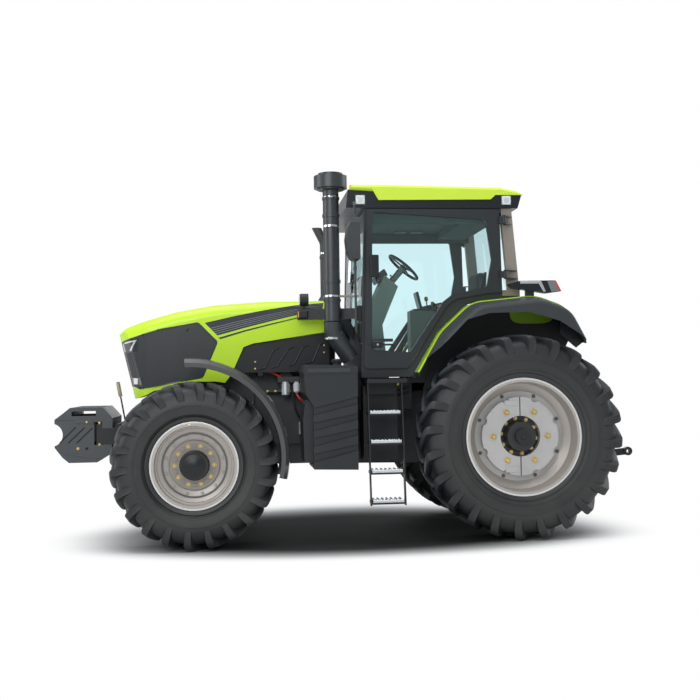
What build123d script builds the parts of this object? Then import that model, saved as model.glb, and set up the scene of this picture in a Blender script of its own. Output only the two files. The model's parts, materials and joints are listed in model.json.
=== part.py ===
from build123d import *
import os
from math import cos, radians, sin

# Farm tractor, millimetres. +X points forward, +Y to the driver's left, +Z up.
# The origin lies on the ground, midway between the front weights and the hitch balls.

# ---------------------------------------------------------------- driving dimensions
wheelbase = 3086
rear_axle_x = -1549
front_axle_x = rear_axle_x + wheelbase

front_track = 1900
front_tyre_radius = 775
front_tyre_width = 520
front_rim_radius = 406
front_rim_width = 412
front_lugs = 22

rear_track = 1880
rear_tyre_radius = 975
rear_tyre_width = 590
rear_rim_radius = 559
rear_rim_width = 512
rear_lugs = 24

front_hub_z = front_tyre_radius
rear_hub_z = rear_tyre_radius
front_hub_y = front_track / 2
rear_hub_y = rear_track / 2

running_gap = 0.05        # radial clearance of a shaft in its bore
seat_gap = 0.3            # between pieces that rest on each other

cab_half_width = 830
cab_floor_z = 1560
roof_top_z = 3425
cab_top_z = roof_top_z - 225
roof_half_width = cab_half_width + 30

hood_half_width = 420
hood_nose_x = front_axle_x + 764
hood_rear_x = rear_axle_x + 1690
hood_top_z = 2352
hood_wall = 14

kingpin_y = 700
kingpin_radius = 34
frame_half_width = 215

os.makedirs("parts", exist_ok=True)


# ---------------------------------------------------------------- shared operations
def save(piece, label):
    """Name a finished piece and write it to its own file."""
    piece.part.label = label
    export_step(piece.part, f"parts/{label}.step")


def block(x_span, y_span, z_span, mode=Mode.ADD):
    """Box between two values along each axis, in the part being built."""
    size = [span[1] - span[0] for span in (x_span, y_span, z_span)]
    middle = [(span[0] + span[1]) / 2 for span in (x_span, y_span, z_span)]
    with Locations(tuple(middle)):
        Box(*size, mode=mode)


def side_prism(outline, y_span, mode=Mode.ADD):
    """Extrude an outline of (x, z) points between two values of Y."""
    plane = Plane(origin=(0, y_span[1], 0), x_dir=(1, 0, 0), z_dir=(0, -1, 0))
    with BuildSketch(plane) as side:
        Polygon(*outline, align=None)
    extrude(side.sketch, amount=y_span[1] - y_span[0], dir=plane.z_dir, mode=mode)


def front_prism(outline, x_span, mode=Mode.ADD):
    """Extrude an outline of (y, z) points between two values of X."""
    plane = Plane(origin=(x_span[0], 0, 0), x_dir=(0, 1, 0), z_dir=(1, 0, 0))
    with BuildSketch(plane) as front:
        Polygon(*outline, align=None)
    extrude(front.sketch, amount=x_span[1] - x_span[0], dir=plane.z_dir, mode=mode)


def plan_prism(outline, z_span, mode=Mode.ADD):
    """Extrude an outline of (x, y) points between two values of Z."""
    with BuildSketch(Plane.XY.offset(z_span[0])) as plan:
        Polygon(*outline, align=None)
    extrude(plan.sketch, amount=z_span[1] - z_span[0], dir=(0, 0, 1), mode=mode)


def rod(start, end, radius, mode=Mode.ADD):
    """Round bar between two points."""
    run = Vector(*end) - Vector(*start)
    with BuildSketch(Plane(origin=start, z_dir=run)) as section:
        Circle(radius)
    extrude(section.sketch, amount=run.length, mode=mode)


def tube(route, radius, bend=0):
    """Round bar along a route of points, its corners bent to one radius."""
    with BuildLine() as path:
        if bend:
            FilletPolyline(*route, radius=bend)
        else:
            Polyline(*route)
    with BuildSketch(Plane(origin=route[0], z_dir=path.line % 0)) as section:
        Circle(radius)
    sweep(section.sketch, path=path.line)


def turned(profile, centre):
    """Revolve a profile of (radius, y) points about the axle line through a centre."""
    with BuildSketch(Plane(origin=centre)) as half:
        Polygon(*profile, align=None)
    revolve(half.sketch, axis=Axis(centre, (0, 1, 0)))


def flat_panel(outline, y_span, corner, inset=0):
    """Flat panel in side view with rounded corners."""
    plane = Plane(origin=(0, y_span[1], 0), x_dir=(1, 0, 0), z_dir=(0, -1, 0))
    with BuildPart() as panel:
        with BuildSketch(plane) as side:
            Polygon(*outline, align=None)
            fillet(side.vertices(), corner)
            if inset:
                offset(amount=-inset)
        extrude(amount=y_span[1] - y_span[0], dir=plane.z_dir)
    return panel.part


def mirrored(piece):
    """The same piece on the tractor's other side."""
    with BuildPart() as other:
        mirror(piece.part, about=Plane.XZ)
    return other


# ---------------------------------------------------------------- wheels
lug_height = 46
lug_root = 92
lug_tip_drop = 8          # the flat tip stands clear of the tread circle at its middle
lug_draft = 3
rim_flange_height = 26


def tyre_lug(hub, radius, width):
    """One chevron bar at the top of the tyre, on its left half: the nose leads, the heel trails."""
    nose_y, heel_y = -8, width / 2 - 4
    nose_s, heel_s = 0.10 * radius, -0.105 * radius
    nose_half, heel_half = 24, 33
    root_z = hub[2] + radius - lug_height - lug_root
    root_plane = Plane(origin=(hub[0], hub[1], root_z), x_dir=(0, 1, 0), z_dir=(0, 0, 1))
    with BuildPart() as lug:
        with BuildSketch(root_plane):
            Polygon(
                (nose_y, -nose_s - nose_half),
                (heel_y, -heel_s - heel_half),
                (heel_y, -heel_s + heel_half),
                (nose_y, -nose_s + nose_half),
                align=None,
            )
        extrude(amount=lug_height + lug_root - lug_tip_drop, taper=lug_draft)
    return lug.part


def lug_tyre(hub, radius, width, rim_radius, rim_width, lugs):
    """Carcass with one flat for each lug, fused with the lugs, and bored for the rim's seat."""
    half = width / 2
    crown = radius - lug_height
    flank = rim_radius + 0.42 * (crown - rim_radius)
    bead_half = rim_width / 2 - 14
    axle = Axis(hub, (0, 1, 0))
    pitch = 360 / lugs
    left_lug = tyre_lug(hub, radius, width)
    right_lug = left_lug.mirror(Plane(origin=hub, z_dir=(0, 1, 0)))
    lug_ring = [left_lug.rotate(axle, i * pitch) for i in range(lugs)]
    lug_ring += [right_lug.rotate(axle, (i + 0.5) * pitch) for i in range(lugs)]
    # distance from the tyre's middle, radius to the flats
    half_section = [
        (0.88 * half, crown - 22),
        (half, flank),
        (bead_half, rim_radius + 8),
    ]
    section = [(-y, r) for y, r in reversed(half_section)] + half_section
    with BuildPart() as tyre:
        for y, flat_radius in section:
            plane = Plane(origin=(hub[0], hub[1] + y, hub[2]), x_dir=(1, 0, 0), z_dir=(0, 1, 0))
            with BuildSketch(plane):
                RegularPolygon(flat_radius, 2 * lugs, major_radius=False)
        loft(ruled=True)
        add(lug_ring)
        with BuildSketch(Plane(origin=hub, z_dir=(0, 1, 0))):
            Circle(rim_radius - rim_flange_height + seat_gap)
        extrude(amount=width, both=True, mode=Mode.SUBTRACT)
    return tyre


front_hub = (front_axle_x, front_hub_y, front_hub_z)
rear_hub = (rear_axle_x, rear_hub_y, rear_hub_z)

for label, hub, sizes in (
    ("front_tyre", front_hub,
     (front_tyre_radius, front_tyre_width, front_rim_radius, front_rim_width, front_lugs)),
    ("rear_tyre", rear_hub,
     (rear_tyre_radius, rear_tyre_width, rear_rim_radius, rear_rim_width, rear_lugs)),
):
    left = lug_tyre(hub, *sizes)
    save(left, f"{label}_left")
    save(mirrored(left), f"{label}_right")

# Front rim: flanged barrel, stepped dish, disc face and the planetary cover.
front_disc_y = 55
front_hub_radius = 138
spindle_radius = 62
wheel_bolt_length = 16

rim_flange = front_rim_width / 2
barrel_radius = front_rim_radius - rim_flange_height
with BuildPart() as front_rim:
    turned(
        [
            (front_rim_radius, rim_flange - 12),
            (front_rim_radius, rim_flange),
            (barrel_radius - 14, rim_flange),
            (barrel_radius - 20, front_disc_y + 60),
            (226, front_disc_y + 12),
            (226, front_disc_y + 40),
            (front_hub_radius, front_disc_y + 40),
            (front_hub_radius - 14, front_disc_y + 136),
            (0, front_disc_y + 136),
            (0, front_disc_y - 12),
            (226, front_disc_y - 12),
            (barrel_radius - 20, front_disc_y + 36),
            (barrel_radius - 14, 12 - rim_flange),
            (front_rim_radius, -rim_flange),
            (front_rim_radius, 12 - rim_flange),
            (barrel_radius, 12 - rim_flange),
            (barrel_radius, rim_flange - 12),
        ],
        front_hub,
    )
    bolt_face = Plane(
        origin=(front_axle_x, front_hub_y + front_disc_y + 40, front_hub_z), z_dir=(0, 1, 0)
    )
    with BuildSketch(bolt_face) as wheel_bolts:
        with PolarLocations(182, 10):
            RegularPolygon(16, 6)
    extrude(wheel_bolts.sketch, amount=wheel_bolt_length)
    rod(
        (front_axle_x, front_hub_y + front_disc_y, front_hub_z),
        (front_axle_x, front_hub_y - 70, front_hub_z),
        spindle_radius,
    )
save(front_rim, "front_rim_left")
save(mirrored(front_rim), "front_rim_right")

# Rear rim: the disc stands near the barrel's middle, and the axle hub passes through it.
rear_disc_y = 40
rear_hub_radius = 150
axle_shaft_radius = 70
rear_flange = rear_rim_width / 2
rear_barrel = rear_rim_radius - rim_flange_height
with BuildPart() as rear_rim:
    turned(
        [
            (rear_rim_radius, rear_flange - 12),
            (rear_rim_radius, rear_flange),
            (rear_barrel - 14, rear_flange),
            (rear_barrel - 30, rear_disc_y + 60),
            (430, rear_disc_y + 10),
            (rear_hub_radius, rear_disc_y + 10),
            (rear_hub_radius - 12, rear_disc_y + 130),
            (axle_shaft_radius, rear_disc_y + 130),
            (axle_shaft_radius, rear_disc_y + 190),
            (0, rear_disc_y + 190),
            (0, rear_disc_y - 90),
            (rear_hub_radius, rear_disc_y - 90),
            (rear_hub_radius, rear_disc_y - 10),
            (430, rear_disc_y - 10),
            (rear_barrel - 30, rear_disc_y + 36),
            (rear_barrel - 14, 12 - rear_flange),
            (rear_rim_radius, -rear_flange),
            (rear_rim_radius, 12 - rear_flange),
            (rear_barrel, 12 - rear_flange),
            (rear_barrel, rear_flange - 12),
        ],
        rear_hub,
    )
    rod(rear_hub, (rear_axle_x, rear_hub_y - 150, rear_hub_z), axle_shaft_radius)
save(rear_rim, "rear_rim_left")
save(mirrored(rear_rim), "rear_rim_right")

# Cast wheel weight in two halves with a scalloped edge, bolted to the rear disc.
weight_radius = 375
weight_thickness = 70
weight_split = 6
weight_face = Plane(
    origin=(rear_axle_x, rear_hub_y + rear_disc_y + 10 + seat_gap, rear_hub_z), z_dir=(0, 1, 0)
)
with BuildPart() as wheel_weight:
    with BuildSketch(weight_face) as casting:
        Circle(weight_radius)
        Circle(195, mode=Mode.SUBTRACT)
        with PolarLocations(weight_radius + 18, 8, start_angle=22.5):
            Circle(42, mode=Mode.SUBTRACT)
        Rectangle(2 * weight_radius, weight_split, mode=Mode.SUBTRACT)
    extrude(casting.sketch, amount=weight_thickness)
    with BuildSketch(weight_face.offset(weight_thickness)) as weight_bolts:
        with PolarLocations(265, 6, start_angle=30):
            RegularPolygon(20, 6)
    extrude(weight_bolts.sketch, amount=14)
save(wheel_weight, "wheel_weight_left")
save(mirrored(wheel_weight), "wheel_weight_right")

# ---------------------------------------------------------------- front axle and steering
knuckle_gap = 2
beam_half_height = 75
yoke_gap_half = 95
saddle_z = front_hub_z + 170     # the axle's pivot bears on the front support here
yoke_wall_inset = 140
yoke_thickness = 46

with BuildPart() as front_axle:
    # Beam housing with its differential bulge, and a yoke that holds each kingpin.
    with BuildSketch(Plane.XZ.offset(yoke_wall_inset - kingpin_y)) as beam_end:
        with Locations((front_axle_x, front_hub_z)):
            RectangleRounded(100, 2 * beam_half_height, 20)
    with BuildSketch(Plane.XZ) as beam_middle:
        with Locations((front_axle_x, front_hub_z)):
            RectangleRounded(230, 200, 30)
    half_beam = loft([beam_end.sketch, beam_middle.sketch], ruled=True)
    mirror(half_beam, about=Plane.XZ)
    with Locations((front_axle_x, 90, front_hub_z)):
        Sphere(165)
    block(
        (front_axle_x - 120, front_axle_x + 120),
        (-80, 80),
        (front_hub_z + 60, saddle_z - seat_gap),
    )
    for side in (1, -1):
        inner, outer = sorted((side * (kingpin_y - yoke_wall_inset), side * (kingpin_y + 60)))
        yoke_top = yoke_gap_half + yoke_thickness
        for low, high in ((yoke_gap_half, yoke_top), (-yoke_top, -yoke_gap_half)):
            block(
                (front_axle_x - 70, front_axle_x + 70),
                (inner, outer),
                (front_hub_z + low, front_hub_z + high),
            )
        wall = sorted((side * (kingpin_y - yoke_wall_inset), side * (kingpin_y - 110)))
        block((front_axle_x - 50, front_axle_x + 50), wall, (front_hub_z - 100, front_hub_z + 100))
        with Locations((front_axle_x, side * kingpin_y, front_hub_z)):
            Cylinder(kingpin_radius + running_gap, 400, mode=Mode.SUBTRACT)
save(front_axle, "front_axle")

steer_arm_x = -215
steer_arm_y = -30
tie_rod_z = front_hub_z - 62
tie_eye_height = 26
hub_carrier_radius = 150
strut_radius = 16
strut_y = kingpin_y - 34
strut_foot_x = front_axle_x - 150
strut_foot_z = front_hub_z + 66
with BuildPart() as knuckle:
    # Swivel housing between the yoke's ears, its kingpin, and the bore for the wheel's spindle.
    with Locations((front_axle_x, kingpin_y, front_hub_z)):
        Cylinder(70, 2 * (yoke_gap_half - knuckle_gap))
        Cylinder(kingpin_radius, 2 * (yoke_gap_half + yoke_thickness) + 20)
    rod(
        (front_axle_x, kingpin_y, front_hub_z),
        (front_axle_x, front_hub_y - 30, front_hub_z),
        88,
    )
    rod(
        (front_axle_x, front_hub_y - 90, front_hub_z),
        (front_axle_x, front_hub_y + front_disc_y - 20, front_hub_z),
        hub_carrier_radius,
    )
    rod(
        (front_axle_x, front_hub_y - 72, front_hub_z),
        (front_axle_x, front_hub_y + 60, front_hub_z),
        spindle_radius + running_gap,
        mode=Mode.SUBTRACT,
    )
    plan_prism(
        [
            (front_axle_x - 30, kingpin_y + 50),
            (front_axle_x - 30, kingpin_y - 50),
            (front_axle_x + steer_arm_x - 28, kingpin_y + steer_arm_y - 24),
            (front_axle_x + steer_arm_x - 28, kingpin_y + steer_arm_y + 28),
        ],
        (tie_rod_z + tie_eye_height / 2 + seat_gap, tie_rod_z + tie_eye_height / 2 + 27),
    )
    # Arm that carries the fender's strut.
    block(
        (strut_foot_x - 26, front_axle_x - 30),
        (strut_y - 18, strut_y + 34),
        (strut_foot_z - 40, strut_foot_z),
    )
save(knuckle, "knuckle_left")
save(mirrored(knuckle), "knuckle_right")

with BuildPart() as steering_rod:
    rod_x = front_axle_x + steer_arm_x
    end_y = kingpin_y + steer_arm_y
    rod((rod_x, -end_y, tie_rod_z), (rod_x, end_y, tie_rod_z), 12)
    for side in (1, -1):
        with Locations((rod_x, side * end_y, tie_rod_z)):
            Cylinder(27, tie_eye_height)
save(steering_rod, "steering_rod")

# ---------------------------------------------------------------- front fenders
fender_radius = front_tyre_radius + 146
fender_centre_x = front_axle_x + 40
fender_centre_z = front_hub_z + 68
fender_wall = 9
fender_lip = 84           # depth of the turned-down edges
fender_half_width = 215
fender_lead = 2.5         # degrees ahead of its centre where the fender starts
fender_sweep = 106
strut_x = front_axle_x - 560
with BuildPart() as front_fender:
    # Crowned strip with turned-down edges, revolved about a line ahead of and above the axle.
    fender_origin = (fender_centre_x, front_hub_y, fender_centre_z)
    fender_start = (sin(radians(fender_lead)), 0, cos(radians(fender_lead)))
    fender_plane = Plane(
        origin=fender_origin, x_dir=fender_start, z_dir=Vector(*fender_start).cross(Vector(0, 1, 0))
    )
    # distance in from the crown, share of the half width
    fender_profile = [(fender_lip, 1), (44, 1), (10, 0.76), (0, 0.42)]
    with BuildSketch(fender_plane) as strip:
        outer = [(fender_radius - drop, share * fender_half_width) for drop, share in fender_profile]
        inner = [
            (fender_radius - drop - (fender_wall if drop < fender_lip else 0),
             share * fender_half_width - (fender_wall if share == 1 else 0))
            for drop, share in fender_profile
        ]
        Polygon(
            *[(r, -y) for r, y in outer], *outer[::-1],
            *inner, *[(r, -y) for r, y in inner[::-1]],
            align=None,
        )
    revolve(strip.sketch, axis=Axis(fender_origin, (0, -1, 0)), revolution_arc=fender_sweep)
    # Strut from the knuckle's arm, up past the tyre's inner side and out under the strip.
    strut_top = fender_centre_z + (fender_radius ** 2 - (strut_x - fender_centre_x) ** 2) ** 0.5
    strut_top -= fender_wall + strut_radius - 2
    tube(
        [
            (strut_foot_x, strut_y, strut_foot_z + seat_gap),
            (strut_foot_x, strut_y, strut_foot_z + 120),
            (strut_x, strut_y, front_hub_z + 560),
            (strut_x, strut_y, strut_top),
            (strut_x, front_hub_y + 120, strut_top),
        ],
        strut_radius,
        bend=30,
    )
save(front_fender, "front_fender_left")
save(mirrored(front_fender), "front_fender_right")

# ---------------------------------------------------------------- chassis
support_front_x = front_axle_x + 740
support_rear_x = front_axle_x - 260
support_top_z = 1160
weight_rear_x = front_axle_x + 808
weight_front_x = front_axle_x + 1361
weight_low_z = 777
weight_top_z = 1310
weight_plates = 12
weight_plate = 68
weight_seam = 3
plate_pitch = weight_plate + weight_seam
stack_half_width = (weight_plates * plate_pitch - weight_seam) / 2
carrier_half_width = stack_half_width
carrier_hook_x = weight_rear_x + 155
carrier_low_z = weight_low_z + 170
carrier_high_z = weight_low_z + 330

with BuildPart() as front_frame:
    # Cast support astride the axle, the carrier plate for the weights, and the tow jaw.
    side_prism(
        [
            (support_rear_x, front_hub_z + 130),
            (front_axle_x - 150, saddle_z),
            (front_axle_x + 150, saddle_z),
            (front_axle_x + 330, 760),
            (support_front_x, 800),
            (support_front_x, support_top_z - 40),
            (front_axle_x + 480, support_top_z),
            (support_rear_x, support_top_z),
        ],
        (15 - frame_half_width, frame_half_width - 15),
    )
    block(
        (support_front_x, support_front_x + 40),
        (-carrier_half_width, carrier_half_width),
        (carrier_low_z - 60, carrier_high_z + 40),
    )
    side_prism(
        [
            (support_front_x + 30, carrier_low_z),
            (carrier_hook_x, carrier_low_z),
            (carrier_hook_x, carrier_high_z + 42),
            (carrier_hook_x - 55, carrier_high_z + 42),
            (carrier_hook_x - 55, carrier_high_z),
            (support_front_x + 30, carrier_high_z),
        ],
        (-carrier_half_width, carrier_half_width),
    )
    # Coupling lever with its grip, ahead of the nose.
    rod(
        (support_front_x - 20, 0, support_top_z - 50),
        (support_front_x + 55, 0, support_top_z + 370),
        8,
    )
    rod(
        (support_front_x + 34, 0, support_top_z + 250),
        (support_front_x + 60, 0, support_top_z + 395),
        17,
    )
save(front_frame, "front_frame")

with BuildPart() as front_weights:
    # Twelve plates with a notched front, hung on the carrier's hook through their rear slot.
    outline = [
        (weight_rear_x + 12, weight_low_z + 88),
        (weight_rear_x + 150, weight_low_z),
        (weight_front_x - 134, weight_low_z),
        (weight_front_x - 74, weight_low_z + 52),
        (weight_front_x, weight_low_z + 150),
        (weight_front_x, weight_low_z + 420),
        (weight_front_x - 80, weight_low_z + 480),
        (weight_front_x - 146, weight_top_z),
        (weight_rear_x + 96, weight_top_z),
        (weight_rear_x, weight_top_z - 106),
    ]
    notch = (weight_front_x + 34, weight_low_z + 273)
    grip_x = (weight_rear_x + 160, weight_front_x - 162)
    grip_z = weight_top_z - 57
    for i in range(weight_plates):
        low_y = i * plate_pitch - stack_half_width
        side_prism(outline, (low_y, low_y + weight_plate))
    side_prism(
        [
            (weight_rear_x + 190, weight_low_z + 20),
            (weight_front_x - 150, weight_low_z + 20),
            (weight_front_x - 150, weight_top_z - 120),
            (weight_rear_x + 190, weight_top_z - 120),
        ],
        (5 - stack_half_width, stack_half_width - 5),
    )
    # Notch for the chain, the grip slot, and the room for the carrier's hook.
    rod(
        (notch[0], -stack_half_width - 5, notch[1]),
        (notch[0], stack_half_width + 5, notch[1]),
        112,
        mode=Mode.SUBTRACT,
    )
    block(grip_x, (-stack_half_width - 5, stack_half_width + 5), (grip_z - 23, grip_z + 23),
          mode=Mode.SUBTRACT)
    side_prism(
        [
            (weight_rear_x - 60, carrier_low_z - seat_gap),
            (carrier_hook_x + 22, carrier_low_z - seat_gap),
            (carrier_hook_x + 22, carrier_high_z + 62),
            (carrier_hook_x - 55 - seat_gap, carrier_high_z + 62),
            (carrier_hook_x - 55 - seat_gap, carrier_high_z + seat_gap),
            (weight_rear_x - 60, carrier_high_z + seat_gap),
        ],
        (-stack_half_width - 5, stack_half_width + 5),
        mode=Mode.SUBTRACT,
    )
save(front_weights, "front_weights")

engine_rear_x = rear_axle_x + 1960
gearbox_half_width = 230
rocker_half_width = 165
with BuildPart() as engine:
    # Block with its sump, the rocker cover, the flywheel housing and the fuel filter.
    block((engine_rear_x, support_rear_x - seat_gap), (-190, 190), (900, 1420))
    block((engine_rear_x, support_rear_x - 60), (-165, 165), (700, 900))
    block(
        (engine_rear_x + 90, front_axle_x + 150),
        (-rocker_half_width, rocker_half_width),
        (1420, 1640),
    )
    block((engine_rear_x + 130, front_axle_x + 100), (-110, 110), (1640, 1760))
    block(
        (support_rear_x - 10, front_axle_x + 120),
        (-190, 190),
        (support_top_z + seat_gap, 1420),
    )
    rod((front_axle_x - 500, 190, 1240), (front_axle_x - 500, 255, 1240), 62)
    rod((front_axle_x - 620, -190, 1240), (front_axle_x - 620, -255, 1240), 62)
    rod((engine_rear_x + 240, 150, 1560), (engine_rear_x + 240, 290, 1560), 75)
save(engine, "engine")

with BuildPart() as cooling_pack:
    # Radiator core in its frame, with the fan shroud behind.
    block((front_axle_x + 300, front_axle_x + 440), (-330, 330), (support_top_z + seat_gap, 1960))
    rod((front_axle_x + 240, 0, 1560), (front_axle_x + 300, 0, 1560), 300)
    rod((front_axle_x + 150 + seat_gap, 0, 1560), (front_axle_x + 240, 0, 1560), 50)
save(cooling_pack, "cooling_pack")

rear_housing_x = rear_axle_x - 330
gearbox_front_top_z = 1420
gearbox_rear_top_z = 1305
with BuildPart() as gearbox:
    side_prism(
        [
            (rear_housing_x, rear_hub_z - 230),
            (rear_axle_x + 300, rear_hub_z - 300),
            (engine_rear_x - seat_gap, 700),
            (engine_rear_x - seat_gap, gearbox_front_top_z),
            (rear_axle_x + 700, gearbox_front_top_z),
            (rear_axle_x + 560, gearbox_rear_top_z),
            (rear_housing_x, gearbox_rear_top_z),
        ],
        (-gearbox_half_width, gearbox_half_width),
    )
save(gearbox, "gearbox")

trumpet_end_y = rear_hub_y + rear_disc_y - 90 - 5
with BuildPart() as rear_axle:
    # Trumpet housings, each with a mounting flange inboard and the wheel bearing outboard.
    left_centre = (rear_axle_x, gearbox_half_width + seat_gap, rear_hub_z)
    length = trumpet_end_y - gearbox_half_width - seat_gap
    turned(
        [
            (0, 0),
            (235, 0),
            (235, 40),
            (165, 60),
            (135, length - 130),
            (150, length - 110),
            (150, length),
            (0, length),
        ],
        left_centre,
    )
    rod(
        (rear_axle_x, rear_hub_y - 155, rear_hub_z),
        (rear_axle_x, rear_hub_y, rear_hub_z),
        axle_shaft_radius + running_gap,
        mode=Mode.SUBTRACT,
    )
    mirror(about=Plane.XZ)
save(rear_axle, "rear_axle")

# ---------------------------------------------------------------- hood
hood_low_z = 1474
hood_skirt_z = 1300       # the skin is trimmed well above this
hood_crown = 10
hood_pivot = (hood_rear_x - 40, 0, hood_top_z - 70)
hood_pin_radius = 12
hood_lug_y = 215
hood_length = hood_nose_x - hood_rear_x

# share of the length from the rear, narrower each side, lower crest, radius of the shoulders
hood_stations = [
    (0, 0, 0, 105),
    (0.306, 0, 2, 108),
    (0.560, 3, 38, 112),
    (0.731, 16, 100, 118),
    (0.870, 38, 182, 122),
    (0.962, 68, 252, 126),
    (1, 124, 318, 126),
]
hood_sections = [
    (hood_rear_x + share * hood_length, hood_half_width - inward, hood_top_z - lower, shoulder)
    for share, inward, lower, shoulder in hood_stations
]
# x from the front axle, z: under the nose, over the tyre, up the stick and back to the cab
hood_lower_edge = [
    (814, 1372),
    (576, 1389),
    (474, 1428),
    (412, 1462),
    (-70, 1545),
    (-193, 1545),
    (-284, 1530),
    (-343, 1606),
    (-386, 1693),
    (-470, 1880),
    (-560, 1915),
]
nose_rake = 0.232         # the nose leans back by this for each millimetre down
nose_brow_z = hood_top_z - 318
# how far back from the nose's middle, y: one side of its plan
nose_plan = [(0, 150), (30, 250), (96, 340), (160, 440)]


def hood_form(inset):
    """Solid hood with its skin moved inwards by an inset, open to the ground."""
    sections = []
    for x, half_width, crest, shoulder in hood_sections:
        side_y = half_width - inset
        radius = shoulder - inset
        top_z = crest - hood_crown - inset
        corner_y = side_y - radius
        with BuildSketch(Plane(origin=(x, 0, 0), x_dir=(0, 1, 0), z_dir=(1, 0, 0))) as section:
            with BuildLine():
                Line((-side_y, hood_skirt_z), (-side_y, top_z - radius))
                ThreePointArc(
                    (-side_y, top_z - radius),
                    (-corner_y - radius * cos(radians(45)), top_z - radius * (1 - sin(radians(45)))),
                    (-corner_y, top_z),
                )
                ThreePointArc((-corner_y, top_z), (0, crest - inset), (corner_y, top_z))
                ThreePointArc(
                    (corner_y, top_z),
                    (corner_y + radius * cos(radians(45)), top_z - radius * (1 - sin(radians(45)))),
                    (side_y, top_z - radius),
                )
                Line((side_y, top_z - radius), (side_y, hood_skirt_z))
                Line((side_y, hood_skirt_z), (-side_y, hood_skirt_z))
            make_face()
        sections.append(section.sketch)
    with BuildPart() as form:
        loft(sections, ruled=True)
        # The nose leans back towards its foot, and its corners are taken off in plan.
        foot_back = nose_rake * (nose_brow_z - 1200)
        side_prism(
            [
                (hood_nose_x, nose_brow_z),
                (hood_nose_x - foot_back, 1200),
                (hood_nose_x + 100, 1200),
                (hood_nose_x + 100, nose_brow_z),
            ],
            (-600, 600),
            mode=Mode.SUBTRACT,
        )
        for side in (1, -1):
            corner_sketches = []
            for z in (1200, nose_brow_z + 120):
                front = hood_nose_x - nose_rake * (nose_brow_z - z)
                plan = [(front - back, side * y) for back, y in nose_plan]
                ahead = [(hood_nose_x + 200, side * 440), (hood_nose_x + 200, side * 150)]
                with BuildSketch(Plane.XY.offset(z)) as corner:
                    with BuildLine():
                        Polyline(*plan, *ahead, close=True)
                    make_face()
                corner_sketches.append(corner.sketch)
            loft(corner_sketches, ruled=True, mode=Mode.SUBTRACT)
    return form.part


grille_corner = 38
mesh_gap = 0.4
hood_outer = hood_form(0)
hood_inner = hood_form(hood_wall)
# x from the front axle, z: the opening that runs along both flanks and across the nose
grille_opening = [
    (front_axle_x + x, z)
    for x, z in (
        (864, 1505),
        (611, 1505),
        (546, 1479),
        (-70, 1581),
        (-222, 1936),
        (-30, 2134),
        (344, 2072),
        (537, 2016),
        (864, 1912),
    )
]
# from the nose's tip backwards, y, z: upper and lower lamps in the nose's corners
lamp_pockets = [
    ((-200, 60), (185, 420), (1852, 1938)),
    ((-250, 60), (235, 420), (1524, 1594)),
]


def lamp_pocket(x_span, y_span, z_span, side, inset):
    """Box round one lamp in the nose, drawn in by an inset."""
    low, high = sorted(side * y for y in y_span)
    with BuildPart() as pocket:
        block(
            (hood_nose_x + x_span[0] + inset, hood_nose_x + x_span[1]),
            (low + inset, high - inset),
            (z_span[0] + inset, z_span[1] - inset),
        )
    return pocket.part


def hood_skin():
    """The whole shell, before its grilles are parted from it."""
    with BuildPart() as skin:
        add(hood_outer)
        add(hood_inner.moved(Location((-hood_wall, 0, 0))), mode=Mode.SUBTRACT)
        low = [(hood_nose_x + 60, 1200)] + [(front_axle_x + x, z) for x, z in hood_lower_edge]
        low += [(hood_rear_x - 50, 2045), (hood_rear_x - 50, 1200)]
        side_prism(low, (-hood_half_width - 50, hood_half_width + 50), mode=Mode.SUBTRACT)
    return skin.part


skin = hood_skin()
with BuildPart() as hood_shell:
    add(skin)
    add(flat_panel(grille_opening, (-600, 600), grille_corner), mode=Mode.SUBTRACT)
    # Hinge lugs under the crest, bored for the pins.
    for side in (1, -1):
        lug_y = sorted((side * hood_lug_y, side * (hood_lug_y + 20)))
        side_prism(
            [
                (hood_rear_x + 5, hood_top_z - 6),
                (hood_rear_x + 150, hood_top_z - 6),
                (hood_pivot[0] + 12, hood_pivot[2] - 22),
                (hood_pivot[0] - 20, hood_pivot[2] - 14),
                (hood_pivot[0] - 20, hood_pivot[2] + 16),
            ],
            lug_y,
        )
        rod((hood_pivot[0], lug_y[0], hood_pivot[2]), (hood_pivot[0], lug_y[1], hood_pivot[2]), 26)
        rod(
            (hood_pivot[0], lug_y[0], hood_pivot[2]),
            (hood_pivot[0], lug_y[1], hood_pivot[2]),
            hood_pin_radius + running_gap,
            mode=Mode.SUBTRACT,
        )
save(hood_shell, "hood_shell")

with BuildPart() as hood_grilles:
    # The part of the skin that fills the opening: both side meshes and the nose, in one band.
    add(skin)
    add(flat_panel(grille_opening, (-600, 600), grille_corner, mesh_gap), mode=Mode.INTERSECT)
    for side in (1, -1):
        for pocket in lamp_pockets:
            add(lamp_pocket(*pocket, side, 0), mode=Mode.SUBTRACT)
save(hood_grilles, "hood_grilles")

with BuildPart() as headlamps:
    # Lenses that carry on the skin across the pockets.
    for side in (1, -1):
        for pocket in lamp_pockets:
            with BuildPart(mode=Mode.PRIVATE) as lens:
                add(skin)
                add(lamp_pocket(*pocket, side, mesh_gap), mode=Mode.INTERSECT)
            add(lens.part)
save(headlamps, "headlamps")

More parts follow.
